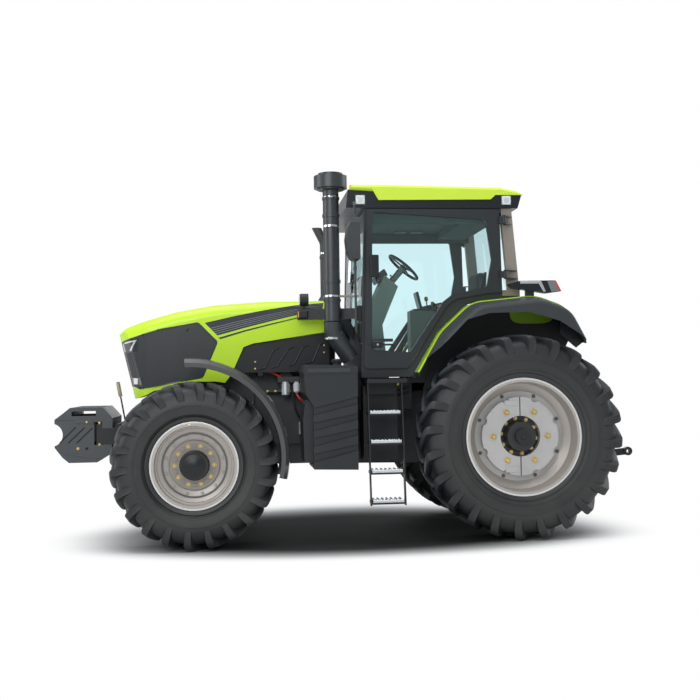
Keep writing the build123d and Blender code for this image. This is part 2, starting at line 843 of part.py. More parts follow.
# ---------------------------------------------------------------- sides of the chassis
side_panel_front_x = front_axle_x - 400
side_panel_rear_x = rear_axle_x + 1760
with BuildPart() as side_panel:
    # Lower engine cover, below the hood's arched edge.
    side_prism(
        [
            (side_panel_front_x, 1700),
            (front_axle_x - 460, 1630),
            (side_panel_rear_x + 380, 1626),
            (side_panel_rear_x, 1662),
            (side_panel_rear_x, 2022),
            (front_axle_x - 556, 1900),
            (front_axle_x - 474, 1866),
        ],
        (hood_half_width - 34, hood_half_width - 20),
    )
    block(
        (front_axle_x - 660, front_axle_x - 610),
        (rocker_half_width + seat_gap, hood_half_width - 30),
        (1596, 1640),
    )
with BuildPart() as side_panels:
    add(side_panel.part)
    mirror(side_panel.part, about=Plane.XZ)
save(side_panels, "side_panels")

tank_rear_x = rear_axle_x + 1568
tank_inner_y = 470
tank_outer_y = 1120
tank_low_z = 700
tank_top_z = 1680
rib_depth = 24
rib_pitch = 144
rib_rise = 100            # each rib climbs this far from its front end to its rear end
with BuildPart() as tank:
    # Moulded body, the plain upper panel with its lid, three slanted ribs and the base.
    side_prism(
        [
            (tank_rear_x + 2, tank_low_z),
            (tank_rear_x + 414, tank_low_z + 12),
            (tank_rear_x + 414, 1290),
            (tank_rear_x + 492, 1420),
            (tank_rear_x + 502, tank_top_z - 30),
            (tank_rear_x, tank_top_z - 30),
        ],
        (tank_inner_y, tank_outer_y - rib_depth),
    )
    side_prism(
        [
            (tank_rear_x - 2, 1384),
            (tank_rear_x + 405, 1285),
            (tank_rear_x + 484, 1424),
            (tank_rear_x + 502, 1606),
            (tank_rear_x - 2, 1606),
        ],
        (tank_inner_y, tank_outer_y),
    )
    add(
        flat_panel(
            [
                (tank_rear_x - 6, 1600),
                (tank_rear_x + 516, 1600),
                (tank_rear_x + 490, tank_top_z + 8),
                (tank_rear_x - 4, tank_top_z - 8),
            ],
            (tank_inner_y - 5, tank_outer_y + 4),
            20,
        )
    )
    for i in range(3):
        front_z = 1210 - i * rib_pitch
        side_prism(
            [
                (tank_rear_x + 2, front_z + rib_rise - 82),
                (tank_rear_x + 418, front_z - 64),
                (tank_rear_x + 418, front_z),
                (tank_rear_x + 2, front_z + rib_rise),
            ],
            (tank_outer_y - rib_depth - 5, tank_outer_y),
        )
    side_prism(
        [
            (tank_rear_x + 2, tank_low_z),
            (tank_rear_x + 418, tank_low_z + 12),
            (tank_rear_x + 418, 778),
            (tank_rear_x + 2, 778 + rib_rise),
        ],
        (tank_outer_y - rib_depth - 5, tank_outer_y),
    )
    # Inner part that swells forwards, its ribs, the filler and the bearer below.
    side_prism(
        [
            (tank_rear_x + 400, 776),
            (tank_rear_x + 500, 776),
            (tank_rear_x + 508, 1165),
            (tank_rear_x + 490, 1320),
            (tank_rear_x + 400, 1400),
        ],
        (tank_inner_y + 90, tank_outer_y - 90),
    )
    with Locations((tank_rear_x + 174, tank_outer_y - 160, tank_top_z + 15)):
        Cylinder(42, 90)
    block((tank_rear_x + 60, tank_rear_x + 260), (gearbox_half_width + seat_gap, tank_inner_y + 5),
          (780, 860))
with BuildPart() as tanks:
    add(tank.part)
    mirror(tank.part, about=Plane.XZ)
save(tanks, "fuel_tanks")

step_front_x = rear_axle_x + 1460
step_rear_x = rear_axle_x + 1150
step_top_z = 1545
step_pitch = 273
step_low_z = 410


def ladder(tread_count):
    """Left-hand ladder: rails, its upper treads, the platform and what carries them."""
    low_z = step_low_z + (4 - tread_count) * step_pitch
    slope = (1215 - 1075) / (step_top_z - step_low_z)
    with BuildPart() as steps:
        for i in range(tread_count):
            tread_z = low_z + i * step_pitch
            outer_y = 1215 - 45 * (i + 4 - tread_count)
            block((step_rear_x, step_front_x), (outer_y - 190, outer_y), (tread_z - 28, tread_z))
        foot_y = 1215 - slope * (low_z - step_low_z)
        for rail_x in (step_rear_x - 12, step_front_x):
            front_prism(
                [
                    (foot_y - 60, low_z - 40),
                    (foot_y, low_z - 40),
                    (1075, step_top_z - 40),
                    (1015, step_top_z - 40),
                ],
                (rail_x, rail_x + 12),
            )
        block((step_rear_x - 60, step_front_x + 12), (cab_half_width, 1080),
              (step_top_z - 40, step_top_z))
        block((step_rear_x - 12, step_front_x + 12), (tank_inner_y, 760), (760, cab_floor_z - 80))
        block((step_rear_x + 20, step_front_x - 20), (755, cab_half_width + 30), (1400, 1460))
        block((step_rear_x + 20, step_front_x - 20), (cab_half_width, cab_half_width + 30),
              (1400, step_top_z - 38))
        block((step_rear_x + 40, step_front_x - 40),
              (gearbox_half_width + seat_gap, tank_inner_y + 5), (780, 860))
    return steps.part


with BuildPart() as ladders:
    # The left ladder has a fourth tread, hung low; the right one ends at the chassis.
    add(ladder(4))
    mirror(ladder(3), about=Plane.XZ)
save(ladders, "steps")

# ---------------------------------------------------------------- rear fenders
arch_wall = 14
arch_inner_y = 612
arch_stripe_y = 960
arch_outer_y = 1205
# x, z along the arch, from the front foot over the wheel to the rear tip
arch_line = [
    (rear_axle_x + 960, 1600),
    (rear_axle_x + 735, 1985),
    (rear_axle_x + 430, 2265),
    (rear_axle_x - 200, 2328),
    (rear_axle_x - 520, 2210),
    (rear_axle_x - 700, 1870),
]
arch_radii = [420, 300, 420, 300]


def arch_sheet(y_span, drop, thickness):
    """Curved sheet along the arch line, its middle lowered by a drop."""
    plane = Plane(origin=(0, y_span[0], 0), x_dir=(0, 0, 1), z_dir=(0, 1, 0))
    with BuildSketch(plane) as profile:
        with BuildLine():
            FilletPolyline(*[(z - drop, x) for x, z in arch_line], radius=arch_radii)
        trace(line_width=thickness)
    extrude(profile.sketch, amount=y_span[1] - y_span[0], dir=(0, 1, 0))


with BuildPart() as fender_top:
    # Green arch over the wheel with its inner plate, which the cab stands between.
    arch_sheet((arch_inner_y, arch_stripe_y), 0, arch_wall)
    side_prism(
        [(x, z - 14) for x, z in arch_line[1:-1]]
        + [(rear_axle_x - 640, 1900), (rear_axle_x - 400, 1400), (rear_axle_x + 860, 1400)],
        (arch_inner_y, arch_inner_y + 12),
    )
with BuildPart() as fender_tops:
    add(fender_top.part)
    mirror(fender_top.part, about=Plane.XZ)
save(fender_tops, "fender_tops")

# x from the rear axle, z: the rim's lower edge, from the front foot to the tip
flare_low_edge = [
    (947, 1662), (522, 2092), (313, 2148), (-76, 2156), (-368, 2070), (-679, 1868),
]
with BuildPart() as flare:
    # Flexible band that falls away outwards, with its turned-down rim trimmed to a line.
    with BuildLine() as arch_path:
        arch_points = [(x, arch_stripe_y + seat_gap, z) for x, z in arch_line]
        FilletPolyline(*arch_points, radius=arch_radii)
    flare_width = arch_outer_y - arch_stripe_y - seat_gap
    section_plane = Plane(origin=arch_points[0], x_dir=(0, 1, 0), z_dir=arch_path.line % 0)
    with BuildSketch(section_plane) as flare_section:
        # distance outwards, depth below the arch line
        Polygon(
            (0, 3), (flare_width - 40, 44), (flare_width - 8, 62), (flare_width, 80),
            (flare_width, 205), (flare_width - 12, 205), (flare_width - 12, 84),
            (flare_width - 44, 58), (0, 17),
            align=None,
        )
    sweep(flare_section.sketch, path=arch_path.line)
    below = [(rear_axle_x + x, z) for x, z in flare_low_edge]
    side_prism(
        below + [(rear_axle_x - 679, 1300), (rear_axle_x + 1100, 1300), (rear_axle_x + 1100, 1590),
                 (rear_axle_x + 975, 1600)],
        (arch_stripe_y - 50, arch_outer_y + 50),
        mode=Mode.SUBTRACT,
    )
with BuildPart() as flares:
    add(flare.part)
    mirror(flare.part, about=Plane.XZ)
save(flares, "fender_flares")

# ---------------------------------------------------------------- cab
door_bottom_z = 1670
cowl_top_z = 2080
sill_y = (cab_half_width - 70, cab_half_width - 4)
post_foot_x = rear_axle_x + 1492
post_head_x = rear_axle_x + 1440


def post_face(z):
    """X of the front face of the front post at a height."""
    return post_foot_x + (post_head_x - post_foot_x) * (z - cab_floor_z) / (cab_top_z - cab_floor_z)


with BuildPart() as cab_frame:
    for side in (1, -1):
        y_span = sorted((side * sill_y[0], side * sill_y[1]))
        # front post
        side_prism(
            [
                (post_foot_x - 52, cab_floor_z),
                (post_foot_x, cab_floor_z),
                (post_head_x, cab_top_z),
                (post_head_x - 55, cab_top_z),
            ],
            y_span,
        )
        # rear post
        side_prism(
            [
                (rear_axle_x - 90, 2345),
                (rear_axle_x + 20, 2345),
                (rear_axle_x + 90, cab_top_z),
                (rear_axle_x - 20, cab_top_z),
            ],
            y_span,
        )
        # header rail
        block((rear_axle_x - 20, rear_axle_x + 1440), y_span, (cab_top_z - 40, cab_top_z))
        # sill between the door and the arch
        side_prism(
            [
                (rear_axle_x + 1490, cab_floor_z),
                (rear_axle_x + 1490, door_bottom_z),
                (rear_axle_x + 1015, door_bottom_z),
                (rear_axle_x + 650, 2250),
                (rear_axle_x + 560, 2320),
                (rear_axle_x + 250, 2385),
                (rear_axle_x + 0, 2400),
                (rear_axle_x - 90, 2400),
                (rear_axle_x - 90, 2328),
                (arch_line[2][0], arch_line[2][1] + 10),
                (arch_line[1][0] + 6, arch_line[1][1] + 12),
                (rear_axle_x + 1000, cab_floor_z),
            ],
            y_span,
        )
    inner = sill_y[0] + 5
    block((rear_axle_x + 1385, rear_axle_x + 1440), (-inner, inner), (cab_top_z - 40, cab_top_z))
    block((rear_axle_x - 20, rear_axle_x + 40), (-inner, inner), (cab_top_z - 40, cab_top_z))
    block((rear_axle_x - 90, rear_axle_x - 30), (-inner, inner), (2340, 2400))
    block((rear_axle_x + 1455, rear_axle_x + 1490), (-inner, inner), (cab_floor_z, cowl_top_z))
    block((rear_axle_x - 90, rear_axle_x - 60), (-580, 580), (1440, 2345))
    # Hood hinge brackets on the cowl, each with its pin.
    for side in (1, -1):
        plate_y = sorted((side * (hood_lug_y - 22), side * (hood_lug_y - 2)))
        side_prism(
            [
                (rear_axle_x + 1480, cowl_top_z - 160),
                (rear_axle_x + 1480, cowl_top_z - 10),
                (hood_pivot[0] - 24, hood_pivot[2] + 10),
                (hood_pivot[0] + 24, hood_pivot[2] + 10),
                (hood_pivot[0] + 24, hood_pivot[2] - 60),
            ],
            plate_y,
        )
        pin_low, pin_high = sorted((side * (hood_lug_y - 10), side * (hood_lug_y + 28)))
        rod(
            (hood_pivot[0], pin_low, hood_pivot[2]),
            (hood_pivot[0], pin_high, hood_pivot[2]),
            hood_pin_radius,
        )
save(cab_frame, "cab_frame")

with BuildPart() as cab_floor:
    # Floor tray, the liners over the wheels, and the rubber mounts it stands on.
    block(
        (rear_axle_x - 60 + seat_gap, rear_axle_x + 1455 - seat_gap),
        (-arch_inner_y + seat_gap, arch_inner_y - seat_gap),
        (cab_floor_z - 60, cab_floor_z - 10),
    )
    block(
        (rear_axle_x + 1060 + seat_gap, rear_axle_x + 1455 - seat_gap),
        (-sill_y[0] + seat_gap, sill_y[0] - seat_gap),
        (cab_floor_z - 40, cab_floor_z - 10),
    )
    for side in (1, -1):
        liner = sorted((side * (arch_inner_y - 30), side * (arch_inner_y - seat_gap)))
        side_prism(
            [
                (rear_axle_x - 50, cab_floor_z - 20),
                (rear_axle_x + 900, cab_floor_z - 20),
                (rear_axle_x + 700, 1980),
                (rear_axle_x + 400, 2230),
                (rear_axle_x - 50, 2270),
            ],
            liner,
        )
        mount_y = sorted((side * 110, side * 210))
        block((rear_axle_x + 1250, rear_axle_x + 1350), mount_y,
              (gearbox_front_top_z + seat_gap, cab_floor_z - 55))
        block((rear_axle_x + 20, rear_axle_x + 120), mount_y,
              (gearbox_rear_top_z + seat_gap, cab_floor_z - 55))
save(cab_floor, "cab_floor")

roof_front_x = rear_axle_x + 1600
roof_rear_x = rear_axle_x - 130
roof_lip_z = 3375
# x, z of the line where the cap meets its rim, from the front to the rear
roof_parting = [
    (rear_axle_x + 1352, 3362),
    (rear_axle_x + 1302, 3275),
    (rear_axle_x + 193, 3285),
    (rear_axle_x + 143, 3330),
]
with BuildPart() as roof:
    # Cap with thinner ends and rounded long edges.
    side_prism(
        [
            (roof_front_x, roof_lip_z),
            (roof_front_x - 60, roof_top_z),
            (rear_axle_x + 1200, roof_top_z),
            (rear_axle_x + 100, roof_top_z - 22),
            (roof_rear_x + 60, roof_top_z - 55),
            (roof_rear_x, 3330),
        ]
        + roof_parting[::-1],
        (-roof_half_width, roof_half_width),
    )
    long_edges = roof.edges().filter_by(Axis.Y, reverse=True).filter_by(
        lambda e: e.center().Z > 3365 and abs(e.center().Y) > roof_half_width - 1
        and e.center().X < roof_front_x - 30 and e.center().X > roof_rear_x + 30
    )
    chamfer(long_edges, 22)
save(roof, "roof")

rim_half_width = roof_half_width - 15
with BuildPart() as roof_rim:
    # Dark rim and headliner below the cap, standing on the cab's rails.
    side_prism(
        [
            (roof_front_x + 20, cab_top_z + seat_gap),
            (roof_front_x, roof_lip_z - seat_gap),
        ]
        + [(x, z - seat_gap) for x, z in roof_parting]
        + [
            (roof_rear_x + 10, 3330 - seat_gap),
            (roof_rear_x + 50, cab_top_z + seat_gap),
        ],
        (-rim_half_width, rim_half_width),
    )
save(roof_rim, "roof_rim")

glass_thickness = 8
with BuildPart() as cab_glass:
    # Windscreen between the front posts and the rear window between the rear ones.
    half_glass = sill_y[0] - seat_gap
    glass_top = cab_top_z - 40 - seat_gap
    side_prism(
        [
            (rear_axle_x + 1464, cowl_top_z + seat_gap),
            (rear_axle_x + 1464 + glass_thickness, cowl_top_z + seat_gap),
            (rear_axle_x + 1430 + glass_thickness, glass_top),
            (rear_axle_x + 1430, glass_top),
        ],
        (-half_glass, half_glass),
    )
    side_prism(
        [
            (rear_axle_x - 80, 2400 + seat_gap),
            (rear_axle_x - 80 + glass_thickness, 2400 + seat_gap),
            (rear_axle_x - 18 + glass_thickness, glass_top),
            (rear_axle_x - 18, glass_top),
        ],
        (-half_glass, half_glass),
    )
save(cab_glass, "cab_glass")

# ---------------------------------------------------------------- doors
door_y = (cab_half_width, cab_half_width + 32)
hinge_x = rear_axle_x + 70
hinge_y = cab_half_width + 55
hinge_pin_radius = 8
hinge_heights = (cab_top_z - 120, arch_line[3][1] + 217)
hinge_half = 32
# x, z round the door, from the front foot over the arch and back along the top
door_outline = [
    (rear_axle_x + 1470, door_bottom_z - 25),
    (rear_axle_x + 1045, door_bottom_z - 25),
    (rear_axle_x + 645, 2252),
    (rear_axle_x + 552, 2312),
    (rear_axle_x + 250, 2362),
    (rear_axle_x + 95, 2374),
    (rear_axle_x + 110, cab_top_z - 15),
    (rear_axle_x + 1420, cab_top_z - 15),
]
glass_outline = [
    (rear_axle_x + 1390, door_bottom_z + 156),
    (rear_axle_x + 1020, door_bottom_z + 128),
    (rear_axle_x + 682, 2286),
    (rear_axle_x + 590, 2356),
    (rear_axle_x + 250, 2424),
    (rear_axle_x + 198, 2690),
    (rear_axle_x + 250, cab_top_z - 118),
    (rear_axle_x + 1366, cab_top_z - 42),
]


with BuildPart() as door:
    # Frame round one large pane, hinge eyes at the back and the handle low at the front.
    add(flat_panel(door_outline, door_y, 34))
    add(flat_panel(glass_outline, (door_y[0] - 5, door_y[1] + 5), 34), mode=Mode.SUBTRACT)
    for height in hinge_heights:
        block(
            (hinge_x, hinge_x + 52),
            (door_y[1] - 4, hinge_y + 12),
            (height - hinge_half, height + hinge_half),
        )
        with Locations((hinge_x, hinge_y, height)):
            Cylinder(18, 2 * hinge_half)
            Cylinder(hinge_pin_radius + running_gap, 2 * hinge_half, mode=Mode.SUBTRACT)
    block((rear_axle_x + 1370, rear_axle_x + 1400), (door_y[1], door_y[1] + 30), (1900, 1930))
    block(
        (rear_axle_x + 1190, rear_axle_x + 1400),
        (door_y[1] + 12, door_y[1] + 30),
        (1900, 1930),
    )
    block((rear_axle_x + 1386, rear_axle_x + 1436), (door_y[1] - 6, door_y[1] + 12), (1880, 1950))
save(door, "door_left")
save(mirrored(door), "door_right")

with BuildPart() as door_glass:
    middle = (door_y[0] + door_y[1]) / 2
    add(flat_panel(glass_outline, (middle - 3, middle + 3), 34, inset=seat_gap))
save(door_glass, "door_glass_left")
save(mirrored(door_glass), "door_glass_right")

with BuildPart() as hinge:
    # Fixed hinge brackets on the rear post, one above and one below each eye, with their pins.
    for height in hinge_heights:
        post_x = rear_axle_x - 80 + 70 * (height - 2345) / (cab_top_z - 2345)
        for low, high in ((hinge_half + 1, hinge_half + 11), (-hinge_half - 11, -hinge_half - 1)):
            plan_prism(
                [
                    (post_x, sill_y[1] + seat_gap),
                    (post_x + 70, sill_y[1] + seat_gap),
                    (hinge_x + 12, hinge_y - 14),
                    (hinge_x + 12, hinge_y + 14),
                    (hinge_x - 14, hinge_y + 14),
                ],
                (height + low, height + high),
            )
        with Locations((hinge_x, hinge_y, height)):
            Cylinder(hinge_pin_radius, 2 * hinge_half + 22)
with BuildPart() as hinges:
    add(hinge.part)
    mirror(hinge.part, about=Plane.XZ)
save(hinges, "door_hinges")

# ---------------------------------------------------------------- inside the cab
seat_x = rear_axle_x + 380
seat_top_z = 2120
with BuildPart() as seat:
    block((seat_x - 190, seat_x + 210), (-190, 190), (cab_floor_z - 10 + seat_gap, 1700))
    block((seat_x - 150, seat_x + 170), (-150, 150), (1700, 1960))
    block((seat_x - 240, seat_x + 260), (-250, 250), (1960, seat_top_z))
    side_prism(
        [
            (seat_x - 250, 2050),
            (seat_x - 130, 2050),
            (seat_x - 190, 2660),
            (seat_x - 300, 2660),
        ],
        (-240, 240),
    )
    for side in (1, -1):
        y_span = sorted((side * 262, side * 330))
        block((seat_x - 220, seat_x + 180), y_span, (2260, 2320))
        y_span = sorted((side * 230, side * 275))
        block((seat_x - 230, seat_x - 170), y_span, (2080, 2320))
save(seat, "seat")

wheel_centre = (rear_axle_x + 925, 0, 2712)
wheel_axis = (-0.658, 0, 0.753)
steering_wheel_radius = 185
column_radius = 12
wheel_plane = Plane(origin=wheel_centre, x_dir=(0, 1, 0), z_dir=wheel_axis)
with BuildPart(wheel_plane) as steering_wheel:
    Torus(steering_wheel_radius, 15)
    Cylinder(38, 24)
    with PolarLocations(steering_wheel_radius / 2, 3, start_angle=-90):
        Box(steering_wheel_radius, 34, 12)
    Cylinder(column_radius + running_gap, 60, mode=Mode.SUBTRACT)
save(steering_wheel, "steering_wheel")

with BuildPart() as console:
    # Pedestal with its hood, the steering column, and the armrest console beside the seat.
    side_prism(
        [
            (rear_axle_x + 1454, cab_floor_z - 10 + seat_gap),
            (rear_axle_x + 1120, cab_floor_z - 10 + seat_gap),
            (rear_axle_x + 1180, 2100),
            (rear_axle_x + 1010, 2500),
            (rear_axle_x + 1150, 2620),
            (rear_axle_x + 1300, 2300),
            (rear_axle_x + 1454, 2060),
        ],
        (-150, 150),
    )
    column_foot = Vector(*wheel_centre) - Vector(*wheel_axis) * 300
    rod(tuple(column_foot), tuple(Vector(*wheel_centre) - Vector(*wheel_axis) * 14), 34)
    rod(tuple(column_foot), tuple(Vector(*wheel_centre) + Vector(*wheel_axis) * 6), column_radius)
    block((seat_x - 200, seat_x + 420), (-540, -345), (cab_floor_z - 10 + seat_gap, 2280))
    for y in (-90, 60):
        block((rear_axle_x + 1080, rear_axle_x + 1125), (y, y + 60), (1640, 1760))
        block((rear_axle_x + 1115, rear_axle_x + 1160), (y + 20, y + 40), (1600, 1700))
save(console, "console")

# ---------------------------------------------------------------- stacks, mirrors and lamps
arm_low_z = 2136
arm_high_z = 2238
arm_rear_x = rear_axle_x + 1495
arm_front_x = rear_axle_x + 2085
arm_rear_y = 709
arm_front_y = 543
arm_half = 29
lamp_y = 546


def arm_side(x):
    """Outer face of the lamp arm at a value of X."""
    slope = (arm_front_y - arm_rear_y) / (arm_front_x - arm_rear_x)
    return arm_rear_y + slope * (x - arm_rear_x) + arm_half


stack_x = rear_axle_x + 1757
stack_y = 750
stack_radius = 78
bowl_z = roof_top_z - 40
with BuildPart() as air_intake:
    # Pre-cleaner bowl on its pipe, clamps, and the rubber elbow that turns in below the cab.
    rod((stack_x, stack_y, arm_low_z - 26), (stack_x, stack_y, bowl_z + 10), stack_radius)
    for low, high, radius in (
        (bowl_z, bowl_z + 15, 130),
        (bowl_z + 15, bowl_z + 135, 162),
        (bowl_z + 135, bowl_z + 162, 120),
        (bowl_z - 95, bowl_z - 70, stack_radius + 7),
        (bowl_z - 265, bowl_z - 235, stack_radius + 7),
        (2480, 2510, stack_radius + 7),
        (2300, 2325, stack_radius + 7),
    ):
        with Locations((stack_x, stack_y, (low + high) / 2)):
            Cylinder(radius, high - low)
    tube(
        [
            (stack_x, stack_y, arm_low_z - 25),
            (stack_x, stack_y - 15, 2000),
            (stack_x - 175, stack_y - 50, 1745),
        ],
        stack_radius + 8,
        bend=150,
    )
    # Saddle that ties the pipe to the lamp arm.
    plan_prism(
        [
            (stack_x - 25, arm_side(stack_x - 25) + seat_gap),
            (stack_x + 25, arm_side(stack_x + 25) + seat_gap),
            (stack_x + 25, stack_y - stack_radius + 20),
            (stack_x - 25, stack_y - stack_radius + 20),
        ],
        (arm_low_z + 10, arm_high_z - 10),
    )
save(air_intake, "air_intake")

exhaust_x = stack_x - 72
exhaust_y = -802
exhaust_pipe_radius = 49
silencer_radius = 105
silencer_low_z = 1700
with BuildPart() as exhaust:
    # Silencer canister beside the cab's front, and the pipe with its slanted mouth.
    rod((exhaust_x, exhaust_y, silencer_low_z), (exhaust_x, exhaust_y, 2390), silencer_radius)
    plan_prism(
        [
            (exhaust_x - 25, -arm_side(exhaust_x - 25) - seat_gap),
            (exhaust_x + 25, -arm_side(exhaust_x + 25) - seat_gap),
            (exhaust_x + 25, exhaust_y + silencer_radius - 20),
            (exhaust_x - 25, exhaust_y + silencer_radius - 20),
        ],
        (arm_low_z + 10, arm_high_z - 10),
    )
    with BuildSketch(Plane.XY.offset(2390)) as cone_low:
        with Locations((exhaust_x, exhaust_y)):
            Circle(silencer_radius)
    with BuildSketch(Plane.XY.offset(2480)) as cone_high:
        with Locations((exhaust_x, exhaust_y)):
            Circle(exhaust_pipe_radius)
    loft([cone_low.sketch, cone_high.sketch])
    tube(
        [
            (exhaust_x, exhaust_y, 2480),
            (exhaust_x, exhaust_y, 3080),
            (exhaust_x + 110, exhaust_y, 3300),
        ],
        exhaust_pipe_radius,
        bend=140,
    )
    rod((exhaust_x, exhaust_y, 2900), (exhaust_x, exhaust_y, 2930), exhaust_pipe_radius + 6)
    block((exhaust_x - 100, exhaust_x + 300), (exhaust_y - 100, exhaust_y + 100), (3245, 3400),
          mode=Mode.SUBTRACT)
save(exhaust, "exhaust")

with BuildPart() as lamp_arm:
    # Box beam from the front post to the lamp beside the hood, with the stack's saddle on it.
    plan_prism(
        [
            (arm_rear_x, arm_rear_y - arm_half),
            (arm_rear_x, arm_rear_y + arm_half),
            (arm_front_x, arm_front_y + arm_half),
            (arm_front_x, arm_front_y - arm_half),
        ],
        (arm_low_z, arm_high_z),
    )
    block(
        (post_face(arm_low_z - 20) + seat_gap, arm_rear_x + 15),
        (690, 790),
        (arm_low_z - 20, arm_high_z + 20),
    )
    rod((rear_axle_x + 2020, lamp_y, arm_high_z - 5), (rear_axle_x + 2020, lamp_y, 2290), 12)
    rod((rear_axle_x + 1975, lamp_y, 2335), (rear_axle_x + 2050, lamp_y, 2335), 62)
with BuildPart() as lamp_arms:
    add(lamp_arm.part)
    mirror(lamp_arm.part, about=Plane.XZ)
save(lamp_arms, "lamp_arms")

mirror_y = 1090
with BuildPart() as mirror_housing:
    # Flat to the rear, swelling forwards, and rounded at every corner.
    side_prism(
        [
            (rear_axle_x + 1532, 2668), (rear_axle_x + 1560, 2646), (rear_axle_x + 1612, 2666),
            (rear_axle_x + 1648, 2740), (rear_axle_x + 1660, 2860), (rear_axle_x + 1645, 2970),
            (rear_axle_x + 1602, 3044), (rear_axle_x + 1556, 3062), (rear_axle_x + 1532, 3048),
        ],
        (1000, 1220),
    )
    front_prism(
        [
            (1000, 2700), (1014, 2664), (1050, 2646), (1170, 2646), (1206, 2664), (1220, 2700),
            (1220, 3004), (1206, 3046), (1170, 3062), (1050, 3062), (1014, 3046), (1000, 3004),
        ],
        (rear_axle_x + 1500, rear_axle_x + 1700),
        mode=Mode.INTERSECT,
    )
with BuildPart() as mirror_unit:
    # Bent tube from the roof down to the front post, and the mirror's housing on it.
    tube(
        [
            (rear_axle_x + 1560, rim_half_width + seat_gap, 3230),
            (rear_axle_x + 1560, 1010, 3230),
            (rear_axle_x + 1556, 985, 1990),
            (post_face(1900) + 16, sill_y[1] - 10, 1900),
        ],
        12,
        bend=50,
    )
    block((post_face(1880) + seat_gap, post_face(1880) + 24), (sill_y[0] + 20, sill_y[1] - 2),
          (1880, 1920))
    add(mirror_housing.part)
    block((rear_axle_x + 1545, rear_axle_x + 1575), (975, 1010), (2800, 2900))
with BuildPart() as mirrors:
    add(mirror_unit.part)
    mirror(mirror_unit.part, about=Plane.XZ)
save(mirrors, "mirrors")

with BuildPart() as work_lamps:
    # Square lamps on the roof's four corners and round ones on the arms' ends.
    for side in (1, -1):
        for low_x in (rear_axle_x + 1435, rear_axle_x - 10):
            y_span = sorted((side * (rim_half_width + seat_gap), side * (rim_half_width + 14)))
            block((low_x, low_x + 92), y_span, (3232, 3322))
        rod(
            (rear_axle_x + 2050 + seat_gap, side * lamp_y, 2335),
            (rear_axle_x + 2062, side * lamp_y, 2335),
            54,
        )
save(work_lamps, "work_lamps")

beacon_x = rear_axle_x + 1490
beacon_y = 300
with BuildPart() as beacon:
    beacon_foot = (beacon_x, beacon_y, roof_top_z + seat_gap)
    rod(beacon_foot, (beacon_x, beacon_y, roof_top_z + 20), 40)
    rod(beacon_foot, (beacon_x, beacon_y, roof_top_z + 95), 33)
save(beacon, "beacon")

with BuildPart() as lamp_pod:
    # Tail lamp carrier over the fender, on its bracket.
    side_prism(
        [
            (rear_axle_x + 58, 2445),
            (rear_axle_x - 60, 2475),
            (rear_axle_x - 415, 2478),
            (rear_axle_x - 470, 2372),
            (rear_axle_x - 320, 2352),
            (rear_axle_x + 20, 2405),
        ],
        (cab_half_width + 50, cab_half_width + 120),
    )
    block(
        (rear_axle_x - 200, rear_axle_x - 120),
        (cab_half_width + 60, cab_half_width + 110),
        (2328, 2400),
    )
with BuildPart() as rear_lamps:
    add(lamp_pod.part)
    mirror(lamp_pod.part, about=Plane.XZ)
save(rear_lamps, "rear_lamps")

# ---------------------------------------------------------------- rear linkage
link_pivot = (rear_axle_x - 160, 640)
link_ball = (rear_axle_x - 1303, 762)
link_pivot_y = 275
link_ball_y = 435
link_pin_radius = 18
ball_bore_radius = 18.5
drawbar_bore_radius = 16.5
pto_radius = 17.5
arm_pivot = (rear_axle_x - 230, 1370)
arm_tip = (rear_axle_x - 600, 1450)
lift_shaft_radius = 45
rod_foot = (rear_axle_x - 830, 712)
rod_y = 422
top_link_pin = (rear_axle_x - 400, 1130)
top_link_ball = (rear_axle_x - 760, 1560)
top_ball_bore_radius = 12.85

with BuildPart() as lift_arms:
    # Cross shaft behind the housing, with one rocker arm each side.
    rod(
        (arm_pivot[0], -300, arm_pivot[1]),
        (arm_pivot[0], 300, arm_pivot[1]),
        lift_shaft_radius,
    )
    for side in (1, -1):
        y_span = sorted((side * 285, side * 325))
        side_prism(
            [
                (arm_pivot[0] + 60, arm_pivot[1] - 60),
                (arm_pivot[0] + 60, arm_pivot[1] + 60),
                (arm_tip[0] - 30, arm_tip[1] + 32),
                (arm_tip[0] - 30, arm_tip[1] - 32),
            ],
            y_span,
        )
        inner, outer = sorted((side * 300, side * (rod_y + 24)))
        rod((arm_tip[0], inner, arm_tip[1]), (arm_tip[0], outer, arm_tip[1]), 16)
save(lift_arms, "lift_arms")

with BuildPart() as lift_rods:
    for side in (1, -1):
        y = side * rod_y
        rod((arm_tip[0], y, arm_tip[1]), (rod_foot[0], y, rod_foot[1]), 22)
        for x, z in (arm_tip, rod_foot):
            rod((x, y - 20, z), (x, y + 20, z), 36)
            rod((x, y - 30, z), (x, y + 30, z), 16 + running_gap, mode=Mode.SUBTRACT)
save(lift_rods, "lift_rods")


def link_bar(side):
    """Forged bar that tapers in side view and splays outwards to the ball end."""
    with BuildPart() as bar:
        plan_prism(
            [
                (link_pivot[0] + 40, side * (link_pivot_y - 15)),
                (link_pivot[0] + 40, side * (link_pivot_y + 15)),
                (link_ball[0], side * (link_ball_y + 15)),
                (link_ball[0], side * (link_ball_y - 15)),
            ],
            (link_pivot[1] - 100, link_ball[1] + 100),
        )
        side_prism(
            [
                (link_pivot[0] + 45, link_pivot[1] - 38),
                (link_pivot[0] + 45, link_pivot[1] + 38),
                (link_ball[0], link_ball[1] + 34),
                (link_ball[0], link_ball[1] - 34),
            ],
            (-700, 700),
            mode=Mode.INTERSECT,
        )
    return bar.part


